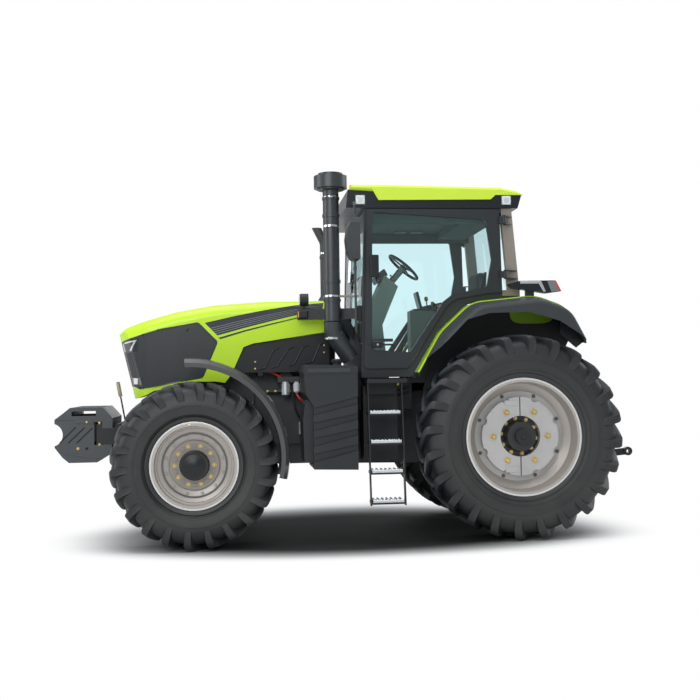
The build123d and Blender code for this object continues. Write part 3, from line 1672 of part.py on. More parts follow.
with BuildPart() as lower_links:
    # Two draft links with bored balls at the rear, on pins in the housing's sides.
    for side in (1, -1):
        add(link_bar(side))
        ball_low, ball_high = sorted((side * (link_ball_y - 26), side * (link_ball_y + 26)))
        rod((link_ball[0], ball_low, link_ball[1]), (link_ball[0], ball_high, link_ball[1]), 44)
        rod(
            (link_ball[0], ball_low, link_ball[1]),
            (link_ball[0], ball_high, link_ball[1]),
            ball_bore_radius,
            mode=Mode.SUBTRACT,
        )
        pivot_low, pivot_high = sorted((side * (link_pivot_y - 22), side * (link_pivot_y + 22)))
        rod((link_pivot[0], pivot_low, link_pivot[1]), (link_pivot[0], pivot_high, link_pivot[1]), 48)
        pivot_low, pivot_high = sorted((side * (link_pivot_y - 60), side * (link_pivot_y + 60)))
        rod(
            (link_pivot[0], pivot_low, link_pivot[1]),
            (link_pivot[0], pivot_high, link_pivot[1]),
            link_pin_radius + running_gap,
            mode=Mode.SUBTRACT,
        )
save(lower_links, "lower_links")

with BuildPart() as rear_hitch:
    # Link pins, lift shaft bearings, top link with its bracket, drawbar, and the power take-off.
    back_x = rear_housing_x - seat_gap
    for side in (1, -1):
        low, high = sorted((side * (gearbox_half_width + seat_gap), side * (link_pivot_y + 40)))
        rod((link_pivot[0], low, link_pivot[1]), (link_pivot[0], high, link_pivot[1]), link_pin_radius)
        low, high = sorted((side * (gearbox_half_width + seat_gap), side * (link_pivot_y - 24)))
        block((link_pivot[0] - 70, link_pivot[0] + 30), (low, high), (590, 770))
        low, high = sorted((side * 150, side * 270))
        block(
            (arm_pivot[0] - 80, arm_pivot[0] + 80),
            (low, high),
            (gearbox_rear_top_z + seat_gap, arm_pivot[1] + 70),
        )
        rod(
            (arm_pivot[0], low, arm_pivot[1]),
            (arm_pivot[0], high, arm_pivot[1]),
            lift_shaft_radius + running_gap,
            mode=Mode.SUBTRACT,
        )
        low, high = sorted((side * 70, side * 110))
        block((back_x - 90, back_x), (low, high), (430, 880))
    block((back_x - 90, back_x), (-110, 110), (430, 520))
    block((rear_axle_x - 740, rear_axle_x + 400), (-45, 45), (430, 476))
    block((rear_axle_x + 340, rear_axle_x + 400), (-45, 45), (430, rear_hub_z - 300 - seat_gap))
    rod((rear_axle_x - 690, 0, 400), (rear_axle_x - 690, 0, 500), drawbar_bore_radius,
        mode=Mode.SUBTRACT)
    # Top link: bracket with its pin, the turnbuckle and the bored ball end, stowed raised.
    for side in (1, -1):
        low, high = sorted((side * 30, side * 46))
        side_prism(
            [
                (back_x, 1060),
                (back_x, 1220),
                (top_link_pin[0] - 35, top_link_pin[1] + 30),
                (top_link_pin[0] - 35, top_link_pin[1] - 30),
            ],
            (low, high),
        )
    rod((top_link_pin[0], -54, top_link_pin[1]), (top_link_pin[0], 54, top_link_pin[1]), 12)
    rod((top_link_pin[0], -24, top_link_pin[1]), (top_link_pin[0], 24, top_link_pin[1]), 32)
    link_run = Vector(top_link_ball[0] - top_link_pin[0], 0, top_link_ball[1] - top_link_pin[1])
    pin_point = Vector(top_link_pin[0], 0, top_link_pin[1])
    rod(tuple(pin_point), (top_link_ball[0], 0, top_link_ball[1]), 15)
    rod(tuple(pin_point + link_run * 0.25), tuple(pin_point + link_run * 0.72), 27)
    rod((top_link_ball[0], -25, top_link_ball[1]), (top_link_ball[0], 25, top_link_ball[1]), 36)
    rod((top_link_ball[0], -30, top_link_ball[1]), (top_link_ball[0], 30, top_link_ball[1]),
        top_ball_bore_radius, mode=Mode.SUBTRACT)
    rod((back_x, 0, 760), (back_x - 40, 0, 760), 90)
    rod((back_x, 0, 760), (back_x - 130, 0, 760), pto_radius)
save(rear_hitch, "rear_hitch")
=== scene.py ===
import json
from math import cos, hypot, pi, radians, sin

import bmesh
import bpy
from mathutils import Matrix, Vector
from mathutils.bvhtree import BVHTree


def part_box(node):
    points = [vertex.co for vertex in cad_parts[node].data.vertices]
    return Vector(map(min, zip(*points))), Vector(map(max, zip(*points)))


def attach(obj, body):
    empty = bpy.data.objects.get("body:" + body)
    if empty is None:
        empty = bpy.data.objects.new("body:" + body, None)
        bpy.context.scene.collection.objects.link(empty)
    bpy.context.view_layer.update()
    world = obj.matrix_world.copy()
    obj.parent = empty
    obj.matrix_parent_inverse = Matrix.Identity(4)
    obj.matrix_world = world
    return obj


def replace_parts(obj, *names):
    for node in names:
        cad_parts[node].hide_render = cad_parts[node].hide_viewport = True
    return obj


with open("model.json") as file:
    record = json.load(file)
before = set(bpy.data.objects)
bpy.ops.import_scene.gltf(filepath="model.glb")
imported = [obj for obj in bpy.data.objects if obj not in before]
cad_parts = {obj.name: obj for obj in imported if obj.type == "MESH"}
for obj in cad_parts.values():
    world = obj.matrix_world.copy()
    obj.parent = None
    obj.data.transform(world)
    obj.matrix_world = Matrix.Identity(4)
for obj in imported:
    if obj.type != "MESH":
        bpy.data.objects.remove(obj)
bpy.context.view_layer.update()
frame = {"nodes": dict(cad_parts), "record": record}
nodes = frame["nodes"]
scene = bpy.context.scene

# RX is the rear axle's place along the tractor, the middle of the rear tyre. Places along the
# tractor are measured from it, forwards. Left is +Y.
tyre_low, tyre_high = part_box("rear_tyre_left")
RX = (tyre_low.x + tyre_high.x) / 2
REAR_HUB = Vector((RX, 0.94, 0.975))
FRONT_HUB = Vector((RX + 3.086, 0.95, 0.775))
SIDES = ((1, "left"), (-1, "right"))


def new_object(name, data):
    """Object with its data, placed in the scene."""
    made = bpy.data.objects.new(name, data)
    scene.collection.objects.link(made)
    return made


# ---------------------------------------------------------------- camera and lights
camera_data = bpy.data.cameras.new("camera")
camera_data.lens = 53.14
camera_data.sensor_width = 36
camera = new_object("camera", camera_data)
camera.location = (1.191, 10.710, 1.539)
camera.rotation_euler = (radians(91.657), radians(0.927), radians(173.448))
scene.camera = camera
scene.view_settings.view_transform = "Standard"

SOFT_LAMPS = [
    # name, place, aim, size, power
    ("overhead_softbox", (0.5, 1.5, 8.5), (0, 0, 1), (9, 6), 520),
    ("left_softbox", (3.5, 9, 5.0), (0, 0, 1.2), (6, 4), 330),
    ("front_softbox", (8.5, 0.5, 4.5), (0, 0, 1.2), (4, 4), 170),
    ("rear_softbox", (-8.5, -1.0, 4.5), (0, 0, 1.2), (4, 4), 150),
    ("right_softbox", (-2.5, -9, 5.0), (0, 0, 1.2), (6, 4), 260),
]
for name, place, aim, size, power in SOFT_LAMPS:
    light = bpy.data.lights.new(name, "AREA")
    light.shape = "RECTANGLE"
    light.size, light.size_y = size
    light.energy = power
    lamp = new_object(name, light)
    lamp.location = place
    lamp.visible_camera = lamp.visible_transmission = False
    lamp.rotation_euler = (Vector(aim) - Vector(place)).to_track_quat("-Z", "Y").to_euler()


# ---------------------------------------------------------------- node helpers
def node_material(name):
    """Node material with its tree and its Principled shader."""
    material = bpy.data.materials.new(name)
    material.use_nodes = True
    tree = material.node_tree
    return material, tree, tree.nodes["Principled BSDF"]


def math_step(tree, kind, a, b=None):
    """Math node whose inputs are numbers or sockets."""
    step = tree.nodes.new("ShaderNodeMath")
    step.operation = kind
    for index, value in enumerate((a, b)):
        if isinstance(value, (int, float)):
            step.inputs[index].default_value = value
        elif value is not None:
            tree.links.new(value, step.inputs[index])
    return step.outputs[0]


def root_of_squares(tree, a, b):
    """Length of a slope with the two given sides."""
    squares = [math_step(tree, "MULTIPLY", value, value) for value in (a, b)]
    return math_step(tree, "SQRT", math_step(tree, "ADD", *squares))


def map_range(tree, value, start=0.0, end=1.0, low=0.0, high=1.0, smooth=False):
    """Value that goes from low to high while another goes from start to end."""
    ramp = tree.nodes.new("ShaderNodeMapRange")
    if smooth:
        ramp.interpolation_type = "SMOOTHSTEP"
    limits = {"From Min": start, "From Max": end, "To Min": low, "To Max": high}
    for label, number in limits.items():
        if isinstance(number, (int, float)):
            ramp.inputs[label].default_value = number
        else:
            tree.links.new(number, ramp.inputs[label])
    tree.links.new(value, ramp.inputs["Value"])
    return ramp.outputs[0]


def object_axes(tree):
    """X, Y and Z of a point in its own object, as outputs by name."""
    place = tree.nodes.new("ShaderNodeTexCoord")
    axes = tree.nodes.new("ShaderNodeSeparateXYZ")
    tree.links.new(place.outputs["Object"], axes.inputs[0])
    return axes.outputs


def mix_shaders(tree, share, first, second, output):
    """Mix two shaders by a share and feed the tree's output."""
    mix = tree.nodes.new("ShaderNodeMixShader")
    for index, source in enumerate((share, first.outputs[0], second.outputs[0])):
        tree.links.new(source, mix.inputs[index])
    tree.links.new(mix.outputs[0], tree.nodes[output].inputs["Surface"])


# ---------------------------------------------------------------- backdrop and floor
world = bpy.data.worlds.new("studio")
scene.world = world
world.use_nodes = True
sky = world.node_tree
background = sky.nodes["Background"]
background.inputs["Color"].default_value = (0.82, 0.88, 0.92, 1)
background.inputs["Strength"].default_value = 0.55
white_backdrop = sky.nodes.new("ShaderNodeBackground")
white_backdrop.inputs["Color"].default_value = (1, 1, 1, 1)
sky_rays = sky.nodes.new("ShaderNodeLightPath").outputs
seen_sky = math_step(sky, "MAXIMUM", sky_rays["Is Camera Ray"], sky_rays["Is Transmission Ray"])
mix_shaders(sky, seen_sky, background, white_backdrop, "World Output")

# The floor's colour holds a painted shadow: dark in a soft oval under the tractor, and plain white
# further out.
floor_material, floor_tree, floor_shader = node_material("pale_floor")
floor_shader.inputs["Roughness"].default_value = 0.9
floor_shader.inputs["Specular IOR Level"].default_value = 0.1
floor_spot = object_axes(floor_tree)
oval_x = math_step(floor_tree, "DIVIDE", floor_spot["X"], 2.95)
past_middle = math_step(floor_tree, "SUBTRACT", floor_spot["Y"], 0.6)
oval_y = math_step(
    floor_tree, "MAXIMUM", math_step(floor_tree, "DIVIDE", past_middle, 1.35),
    math_step(floor_tree, "DIVIDE", past_middle, -2.9),
)
oval = root_of_squares(floor_tree, oval_x, oval_y)
# painted shadow: the floor's colour runs from near black under the tractor to pale at the oval's
# edge
floor_shadow_tone = floor_tree.nodes.new("ShaderNodeCombineColor")
for label in ("Red", "Green", "Blue"):
    tone = map_range(floor_tree, oval, 0.50, 1.06, 0.025, 0.86, smooth=True)
    floor_tree.links.new(tone, floor_shadow_tone.inputs[label])
floor_tree.links.new(floor_shadow_tone.outputs[0], floor_shader.inputs["Base Color"])
floor_rays = floor_tree.nodes.new("ShaderNodeLightPath").outputs
seen_floor = math_step(
    floor_tree, "MAXIMUM", floor_rays["Is Camera Ray"],
    math_step(
        floor_tree, "MAXIMUM", floor_rays["Is Glossy Ray"], floor_rays["Is Transmission Ray"]
    ),
)
far_out = map_range(floor_tree, oval, 0.74, 1.08, smooth=True)
mix_shaders(
    floor_tree, math_step(floor_tree, "MULTIPLY", seen_floor, far_out), floor_shader,
    floor_tree.nodes.new("ShaderNodeEmission"), "Material Output",
)
floor_mesh = bpy.data.meshes.new("floor")
floor_mesh.from_pydata(
    [(-60, -60, 0), (60, -60, 0), (60, 60, 0), (-60, 60, 0)], [], [(0, 1, 2, 3)]
)
floor_mesh.materials.append(floor_material)
floor = new_object("floor", floor_mesh)
floor.location.z = -0.002


# ---------------------------------------------------------------- effects that materials share
def effect(name, values, outputs):
    """Empty node group with named float inputs and outputs: the group, its inputs, its result."""
    group = bpy.data.node_groups.new(name, "ShaderNodeTree")
    for label, start in values.items():
        socket = group.interface.new_socket(label, in_out="INPUT", socket_type="NodeSocketFloat")
        socket.default_value = start
    for label in outputs:
        group.interface.new_socket(label, in_out="OUTPUT", socket_type="NodeSocketFloat")
    given = group.nodes.new("NodeGroupInput")
    result = group.nodes.new("NodeGroupOutput")
    return group, given.outputs, result.inputs


def clouds(group, scale, detail):
    """Noise in the object's own space."""
    place = group.nodes.new("ShaderNodeTexCoord")
    noise = group.nodes.new("ShaderNodeTexNoise")
    noise.inputs["Detail"].default_value = detail
    group.links.new(place.outputs["Object"], noise.inputs["Vector"])
    group.links.new(scale, noise.inputs["Scale"])
    return noise.outputs["Fac"]


def dust_effect():
    """Soft clouds of dust, thicker near the ground: a mask from 0 to 1."""
    group, given, result = effect(
        "settled_dust", {"Scale": 3.0, "Amount": 0.5, "Low Height": 0.0, "High Height": 1.2},
        ["Mask"],
    )
    height = map_range(
        group, object_axes(group)["Z"], given["Low Height"], given["High Height"], 1.0, 0.0
    )
    patches = map_range(group, clouds(group, given["Scale"], 6), 0.35, 0.75)
    lying = math_step(group, "MULTIPLY", height, patches)
    strength = math_step(group, "MULTIPLY", lying, given["Amount"])
    strength.node.use_clamp = True
    group.links.new(strength, result["Mask"])
    return group


def grain_effect():
    """Fine moulded or cast grain: a height for a Bump node, and a mottle from 0 to 1."""
    group, given, result = effect(
        "fine_grain", {"Scale": 400.0, "Mottle Scale": 9.0}, ["Height", "Mottle"]
    )
    group.links.new(clouds(group, given["Scale"], 2), result["Height"])
    group.links.new(clouds(group, given["Mottle Scale"], 5), result["Mottle"])
    return group


def holes_effect():
    """Staggered rows of punched holes seen square on: 1 in a hole, 0 on the sheet."""
    group, given, result = effect("punched_holes", {"Pitch": 0.012, "Radius": 0.33}, ["Hole"])
    spot = object_axes(group)
    across = math_step(group, "ADD", spot["X"], spot["Y"])
    row_value = math_step(group, "DIVIDE", spot["Z"], given["Pitch"])
    row = math_step(group, "ABSOLUTE", math_step(group, "FLOOR", row_value))
    stagger = math_step(group, "MULTIPLY", math_step(group, "MODULO", row, 2), 0.5)
    column = math_step(group, "DIVIDE", across, given["Pitch"])
    from_middle = [
        math_step(group, "SUBTRACT", math_step(group, "FRACT", value), 0.5)
        for value in (math_step(group, "ADD", column, stagger), row_value)
    ]
    distance = root_of_squares(group, *from_middle)
    group.links.new(math_step(group, "LESS_THAN", distance, given["Radius"]), result["Hole"])
    return group


def axle_effect():
    """Distance from an axle that runs across the tractor, in metres."""
    group, given, result = effect("from_axle", {"Axle X": 0.0, "Axle Z": 0.0}, ["Distance"])
    spot = object_axes(group)
    offsets = [
        math_step(group, "SUBTRACT", spot[axis], given[f"Axle {axis}"]) for axis in ("X", "Z")
    ]
    group.links.new(root_of_squares(group, *offsets), result["Distance"])
    return group


FROM_AXLE = axle_effect()
SETTLED_DUST = dust_effect()
FINE_GRAIN = grain_effect()
PUNCHED_HOLES = holes_effect()


# ---------------------------------------------------------------- materials
def use(tree, group, **values):
    """Place a shared effect in a material with its own values; gives its outputs."""
    node = tree.nodes.new("ShaderNodeGroup")
    node.node_tree = group
    for label, value in values.items():
        node.inputs[label.replace("_", " ")].default_value = value
    return node.outputs


def blend_colour(tree, mask, low, high):
    """Colour that goes from one to another by a mask."""
    mix = tree.nodes.new("ShaderNodeMix")
    mix.data_type = "RGBA"
    tree.links.new(mask, mix.inputs["Factor"])
    for socket, value in ((mix.inputs["A"], low), (mix.inputs["B"], high)):
        if isinstance(value, tuple):
            socket.default_value = (*value, 1)
        else:
            tree.links.new(value, socket)
    return mix.outputs["Result"]


def bumped(tree, height, shader, strength, distance=0.0006):
    """Feed a height to a shader's normal through a Bump node."""
    bump = tree.nodes.new("ShaderNodeBump")
    bump.inputs["Strength"].default_value = strength
    bump.inputs["Distance"].default_value = distance
    tree.links.new(height, bump.inputs["Height"])
    tree.links.new(bump.outputs[0], shader.inputs["Normal"])


DUST_COLOUR = (0.30, 0.27, 0.23)
COAT_ROUGHNESS = 0.06
ROUGHNESS_SPREAD = 0.15   # how far the mottle takes a roughness up and down


def lay_coat(tree, shader, tone, detail, roughness, metallic, grain, gloss, dust=None):
    """Give a shader its tone, the dust on it if any, and its shine and grain."""
    if dust:
        settled = use(tree, SETTLED_DUST, **dust)
        tone = blend_colour(tree, settled["Mask"], tone, DUST_COLOUR)
    tree.links.new(tone, shader.inputs["Base Color"])
    rough = map_range(
        tree, detail["Mottle"], low=roughness * (1 - ROUGHNESS_SPREAD),
        high=min(1.0, roughness * (1 + ROUGHNESS_SPREAD)),
    )
    tree.links.new(rough, shader.inputs["Roughness"])
    shader.inputs["Metallic"].default_value = metallic
    shader.inputs["Specular IOR Level"].default_value = gloss
    if grain:
        bumped(tree, detail["Height"], shader, grain)


def finish_coat(
    name, colour, roughness, metallic=0.0, coat=0.0, vary=0.12, grain=0.0, grain_scale=400.0,
    dust=0.0, dust_top=1.3, gloss=0.5,
):
    """Solid finish with slight tone changes, an optional grain, and dust towards the ground."""
    material, tree, shader = node_material(name)
    detail = use(tree, FINE_GRAIN, Scale=grain_scale, Mottle_Scale=7.0)
    darker = tuple(c * (1 - vary) for c in colour)
    lighter = tuple(min(1.0, c * (1 + vary)) for c in colour)
    tone = blend_colour(tree, detail["Mottle"], darker, lighter)
    lay_coat(
        tree, shader, tone, detail, roughness, metallic, grain, gloss,
        dust and {"Scale": 2.6, "Amount": dust, "High_Height": dust_top},
    )
    shader.inputs["Coat Weight"].default_value = coat
    shader.inputs["Coat Roughness"].default_value = COAT_ROUGHNESS
    return material


LIME = (0.47, 0.72, 0.014)
GREEN_PAINT = finish_coat("lime_gloss_paint", LIME, 0.36, coat=0.25, vary=0.03, gloss=0.35)
ROOF_GREEN = finish_coat("roof_gloss_lime", (0.52, 0.70, 0.05), 0.50, vary=0.04, gloss=0.3)
MOULDED_BLACK = finish_coat(
    "moulded_black_plastic", (0.017, 0.020, 0.023), 0.50, grain=0.35, dust=0.10, dust_top=1.6,
    gloss=0.35,
)
SMOOTH_BLACK = finish_coat(
    "smooth_black_plastic", (0.009, 0.012, 0.014), 0.34, grain=0.10, gloss=0.35
)
FLARE_BLACK = finish_coat(
    "flexible_flare_plastic", (0.028, 0.033, 0.037), 0.58, grain=0.4, dust=0.08, dust_top=2.4,
    gloss=0.4,
)
CHASSIS_BLACK = finish_coat(
    "chassis_black_paint", (0.012, 0.013, 0.015), 0.45, grain=0.12, dust=0.12, dust_top=1.4,
    gloss=0.35,
)
WEIGHT_BLACK = finish_coat(
    "cast_weight_paint", (0.046, 0.053, 0.057), 0.50, grain=0.5, grain_scale=160.0, dust=0.1
)
WEIGHT_GREY = finish_coat(
    "wheel_weight_grey", (0.46, 0.45, 0.445), 0.48, grain=0.3, grain_scale=160.0, dust=0.2
)
RIM_SILVER = finish_coat("rim_fitting_silver", (0.40, 0.37, 0.34), 0.38, metallic=0.3, dust=0.1)
RUBBER = finish_coat("hose_rubber", (0.016, 0.017, 0.018), 0.6, gloss=0.35)
ENGINE_GREY = finish_coat(
    "engine_cast_paint", (0.045, 0.048, 0.052), 0.55, grain=0.5, grain_scale=140.0, dust=0.2
)
EXHAUST_BLACK = finish_coat("exhaust_heat_paint", (0.030, 0.032, 0.034), 0.5, vary=0.25)
CONSOLE_GREY = finish_coat("console_grey_plastic", (0.17, 0.22, 0.18), 0.6, grain=0.4)
HEADLINER = finish_coat("headliner_grey", (0.050, 0.085, 0.072), 0.8, grain=0.3, gloss=0.2)
POST_BROWN = finish_coat("post_trim_brown", (0.26, 0.225, 0.195), 0.5, grain=0.2)
SEAT_FABRIC = finish_coat("seat_weave", (0.05, 0.055, 0.06), 0.9, grain=0.8, grain_scale=700.0)
STEEL = finish_coat("bright_steel", (0.55, 0.56, 0.57), 0.30, metallic=1.0, vary=0.08)
ALUMINIUM = finish_coat("tread_aluminium", (0.62, 0.66, 0.68), 0.42, metallic=0.8, vary=0.1)
YELLOW_ZINC = finish_coat("yellow_zinc_bolts", (0.62, 0.48, 0.20), 0.34, metallic=0.9, vary=0.2)
AMBER = finish_coat("amber_lens", (0.90, 0.30, 0.04), 0.15, coat=0.5)
RED = finish_coat("red_lens", (0.65, 0.02, 0.02), 0.15, coat=0.5)
ORANGE_GRIP = finish_coat("orange_grip", (0.75, 0.22, 0.03), 0.4)
TAN_GRIP = finish_coat("tan_grip", (0.42, 0.36, 0.25), 0.5)
STRIPE_GREY = finish_coat("stripe_film_grey", (0.16, 0.17, 0.175), 0.35, coat=0.3)
STRIPE_DARK = finish_coat("stripe_film_dark", (0.022, 0.026, 0.034), 0.35, coat=0.2, gloss=0.3)
CHROME = finish_coat("clamp_chrome", (0.75, 0.76, 0.78), 0.16, metallic=1.0, vary=0.04)
INTAKE_BLACK = finish_coat(
    "intake_moulded_black", (0.026, 0.031, 0.034), 0.36, grain=0.15, gloss=0.5
)
TANK_EDGE = finish_coat("tank_edge_grey", (0.030, 0.035, 0.038), 0.45, gloss=0.4)
MUDGUARD_BLACK = finish_coat(
    "mudguard_gloss_black", (0.052, 0.053, 0.053), 0.26, vary=0.1, coat=0.3
)
DOOR_BLACK = finish_coat("door_frame_black", (0.017, 0.021, 0.024), 0.40, grain=0.2, gloss=0.4)
LAMP_DARK = finish_coat("lamp_smoked_lens", (0.010, 0.013, 0.016), 0.10, coat=0.8)
LIP_SILVER = finish_coat("rim_lip_bright", (0.66, 0.66, 0.66), 0.28, metallic=0.6, vary=0.05)
RIM_SHADE = finish_coat("rim_groove_grey", (0.10, 0.10, 0.10), 0.5)
# near-black finish for painted shade in holes, grooves and joints
HOLE_SHADE_BLACK = finish_coat("painted_hole_shade", (0.006, 0.006, 0.007), 0.8)
FILTER_WHITE = finish_coat("filter_can_white", (0.62, 0.66, 0.68), 0.35, coat=0.3)
HOSE_RED = finish_coat("hose_red", (0.55, 0.03, 0.03), 0.45)
HOSE_BLUE = finish_coat("cap_blue", (0.03, 0.10, 0.45), 0.4)
LENS_WHITE = finish_coat("lamp_lens_white", (0.62, 0.68, 0.70), 0.12, coat=0.7, vary=0.03)
LAMP_CORE = finish_coat("lamp_reflector", (0.80, 0.82, 0.83), 0.2, metallic=0.7)


def glass_material(name, tint, transmission, roughness=0.0):
    """Thin tinted glass with plain transmission."""
    material, _, shader = node_material(name)
    settings = {
        "Base Color": (*tint, 1), "Transmission Weight": transmission, "Roughness": roughness,
        "IOR": 1.05, "Coat Weight": 0.6, "Coat Roughness": 0.01,
    }
    for label, value in settings.items():
        shader.inputs[label].default_value = value
    return material


CAB_GLASS = glass_material("cab_tinted_glass", (0.80, 0.955, 0.975), 1.0)
LAMP_GLASS = glass_material("lamp_clear_lens", (0.92, 0.95, 0.97), 0.75, 0.03)


def punched_sheet_material():
    """Black sheet with rows of holes, each hole painted darker as painted shade and made duller."""
    material, tree, shader = node_material("punched_grille_sheet")
    hole = use(tree, PUNCHED_HOLES, Pitch=0.009, Radius=0.32)["Hole"]
    mottle = use(tree, FINE_GRAIN, Scale=300.0, Mottle_Scale=5.0)["Mottle"]
    tone = blend_colour(tree, mottle, (0.018, 0.022, 0.024), (0.025, 0.030, 0.033))
    # painted shade in each hole
    dark = blend_colour(tree, hole, tone, (0.010, 0.012, 0.013))
    tree.links.new(dark, shader.inputs["Base Color"])
    tree.links.new(map_range(tree, hole, low=0.30, high=0.85), shader.inputs["Roughness"])
    return material


def banded_wheel(name, hub, bands, roughness, metallic=0.0, grain=0.0, dust=0.0):
    """Finish whose colour changes with the distance from a wheel's axle.

    Each band is where its colour starts to show, where it is full, and the colour.
    """
    material, tree, shader = node_material(name)
    distance = use(tree, FROM_AXLE, Axle_X=hub.x, Axle_Z=hub.z)["Distance"]
    detail = use(tree, FINE_GRAIN, Scale=240.0, Mottle_Scale=6.0)
    middle = bands[0][2]
    tone = blend_colour(tree, detail["Mottle"], tuple(0.78 * c for c in middle), middle)
    for start, end, colour in bands[1:]:
        tone = blend_colour(
            tree, map_range(tree, distance, start, end, smooth=True), tone, colour
        )
    lay_coat(
        tree, shader, tone, detail, roughness, metallic, grain, 0.5,
        {"Scale": 3.0, "Amount": dust, "High_Height": 2.2},
    )
    return material


RIM_PAINT = (0.40, 0.365, 0.335)
# darker copy of the rim paint: painted shade on the front rim's recessed inner disc
RIM_INNER_SHADE = (0.26, 0.235, 0.215)
CAP_BLACK = (0.010, 0.010, 0.011)
FRONT_RIM = banded_wheel(
    "front_rim_silver", FRONT_HUB,
    [(0, 0, CAP_BLACK), (0.1385, 0.1395, RIM_INNER_SHADE), (0.225, 0.23, RIM_PAINT)],
    0.38, metallic=0.25, dust=0.12,
)
REAR_RIM = banded_wheel(
    "rear_rim_silver", REAR_HUB,
    # the near-black band inside the weights' bore is painted shade in the recess behind the hub
    # bolts
    [(0, 0, (0.026, 0.027, 0.029)), (0.194, 0.197, (0.44, 0.43, 0.42)),
     (0.425, 0.435, RIM_PAINT)],
    0.38, metallic=0.25, dust=0.12,
)
SIDEWALL = (0.020, 0.021, 0.022)
# Painted shade and light on the tread: darker rubber down between the lugs as painted shade, and
# lighter, bluish lug tops as a painted highlight.
TREAD_GAP_SHADE = (0.013, 0.014, 0.016)
LUG_TOP_HIGHLIGHT = (0.044, 0.053, 0.060)
FRONT_RUBBER = banded_wheel(
    "front_tyre_rubber", FRONT_HUB,
    [(0, 0, SIDEWALL), (0.62, 0.66, TREAD_GAP_SHADE), (0.742, 0.762, LUG_TOP_HIGHLIGHT)],
    0.50, grain=0.3, dust=0.07,
)
REAR_RUBBER = banded_wheel(
    "rear_tyre_rubber", REAR_HUB,
    [(0, 0, SIDEWALL), (0.78, 0.84, TREAD_GAP_SHADE), (0.940, 0.962, LUG_TOP_HIGHLIGHT)],
    0.50, grain=0.3, dust=0.07,
)


def fender_material():
    """Lime on the outside of the rear arches, with painted shade: near black on downward and inner
    faces, and a darker lime patch at the rear inside.
    """
    material, tree, shader = node_material("fender_paint")
    geometry = tree.nodes.new("ShaderNodeNewGeometry")
    facing = tree.nodes.new("ShaderNodeSeparateXYZ")
    tree.links.new(geometry.outputs["Normal"], facing.inputs[0])
    spot = object_axes(tree)
    # painted shade: faces turned down or lying inside the arch get the dark colour
    upward = math_step(tree, "GREATER_THAN", facing.outputs["Z"], -0.04)
    from_middle = math_step(tree, "ABSOLUTE", spot["Y"])
    outside = math_step(tree, "GREATER_THAN", from_middle, 0.645)
    # Round-cornered patch of painted shade on the lime: the fourth powers of both offsets, each
    # over its half size.
    offsets = []
    for axis, middle, half_size in (("X", RX - 0.265, 0.225), ("Z", 2.215, 0.140)):
        offset = math_step(tree, "ADD", spot[axis], -middle)
        share = math_step(tree, "ABSOLUTE", math_step(tree, "DIVIDE", offset, half_size))
        offsets.append(math_step(tree, "POWER", share, 4.0))
    shaded_lime_patch = math_step(tree, "LESS_THAN", math_step(tree, "ADD", *offsets), 1.0)
    lime = math_step(tree, "MAXIMUM", math_step(tree, "MULTIPLY", upward, outside), shaded_lime_patch)
    mottle = use(tree, FINE_GRAIN, Scale=300.0, Mottle_Scale=6.0)["Mottle"]
    dark = blend_colour(tree, mottle, (0.006, 0.007, 0.008), (0.012, 0.013, 0.014))
    # the patch is a darker copy of the lime, painted shade inside the arch
    paint = blend_colour(tree, shaded_lime_patch, LIME, (0.20, 0.36, 0.008))
    tree.links.new(blend_colour(tree, lime, dark, paint), shader.inputs["Base Color"])
    tree.links.new(map_range(tree, lime, low=0.7, high=0.33), shader.inputs["Roughness"])
    tree.links.new(map_range(tree, lime, low=0.0, high=0.6), shader.inputs["Coat Weight"])
    shader.inputs["Coat Roughness"].default_value = COAT_ROUGHNESS
    return material


def cab_frame_material():
    """Dark cab paint, with the rear posts in their brown trim."""
    material, tree, shader = node_material("cab_frame_paint")
    spot = object_axes(tree)
    rearward = math_step(tree, "LESS_THAN", spot["X"], RX + 0.085)
    high = math_step(tree, "GREATER_THAN", spot["Z"], 2.34)
    post = math_step(tree, "MULTIPLY", rearward, high)
    detail = use(tree, FINE_GRAIN, Scale=400.0, Mottle_Scale=7.0)
    paint = blend_colour(tree, detail["Mottle"], (0.018, 0.022, 0.025), (0.026, 0.031, 0.035))
    tree.links.new(blend_colour(tree, post, paint, (0.24, 0.21, 0.18)), shader.inputs["Base Color"])
    rough = map_range(tree, detail["Mottle"], low=0.38, high=0.5)
    tree.links.new(rough, shader.inputs["Roughness"])
    shader.inputs["Specular IOR Level"].default_value = 0.4
    bumped(tree, detail["Height"], shader, 0.15, 0.0005)
    return material


SLOT_FINISH = {
    "green_paint": GREEN_PAINT,
    "roof_plastic": ROOF_GREEN,
    "black_plastic": MOULDED_BLACK,
    "grey_plastic": CONSOLE_GREY,
    "chassis_black": CHASSIS_BLACK,
    "weight_black": WEIGHT_BLACK,
    "weight_grey": WEIGHT_GREY,
    "rim_silver": FRONT_RIM,
    "tyre_rubber": FRONT_RUBBER,
    "exhaust_metal": EXHAUST_BLACK,
    "engine_grey": ENGINE_GREY,
    "window_glass": CAB_GLASS,
    "lamp_glass": LAMP_GLASS,
    "amber_lens": AMBER,
    "seat_fabric": SEAT_FABRIC,
    "steel": STEEL,
}
NODE_FINISH = {
    "fender_flares": FLARE_BLACK,
    "hood_grilles": punched_sheet_material(),
    "side_panels": SMOOTH_BLACK,
    "mirrors": INTAKE_BLACK,
    "air_intake": INTAKE_BLACK,
    "roof_rim": SMOOTH_BLACK,
    "cab_frame": cab_frame_material(),
    "fender_tops": fender_material(),
    "rear_lamps": SMOOTH_BLACK,
    "headlamps": LAMP_DARK,
    "front_fender_left": MUDGUARD_BLACK,
    "front_fender_right": MUDGUARD_BLACK,
    "rear_rim_left": REAR_RIM,
    "rear_rim_right": REAR_RIM,
    "door_left": DOOR_BLACK,
    "door_right": DOOR_BLACK,
}
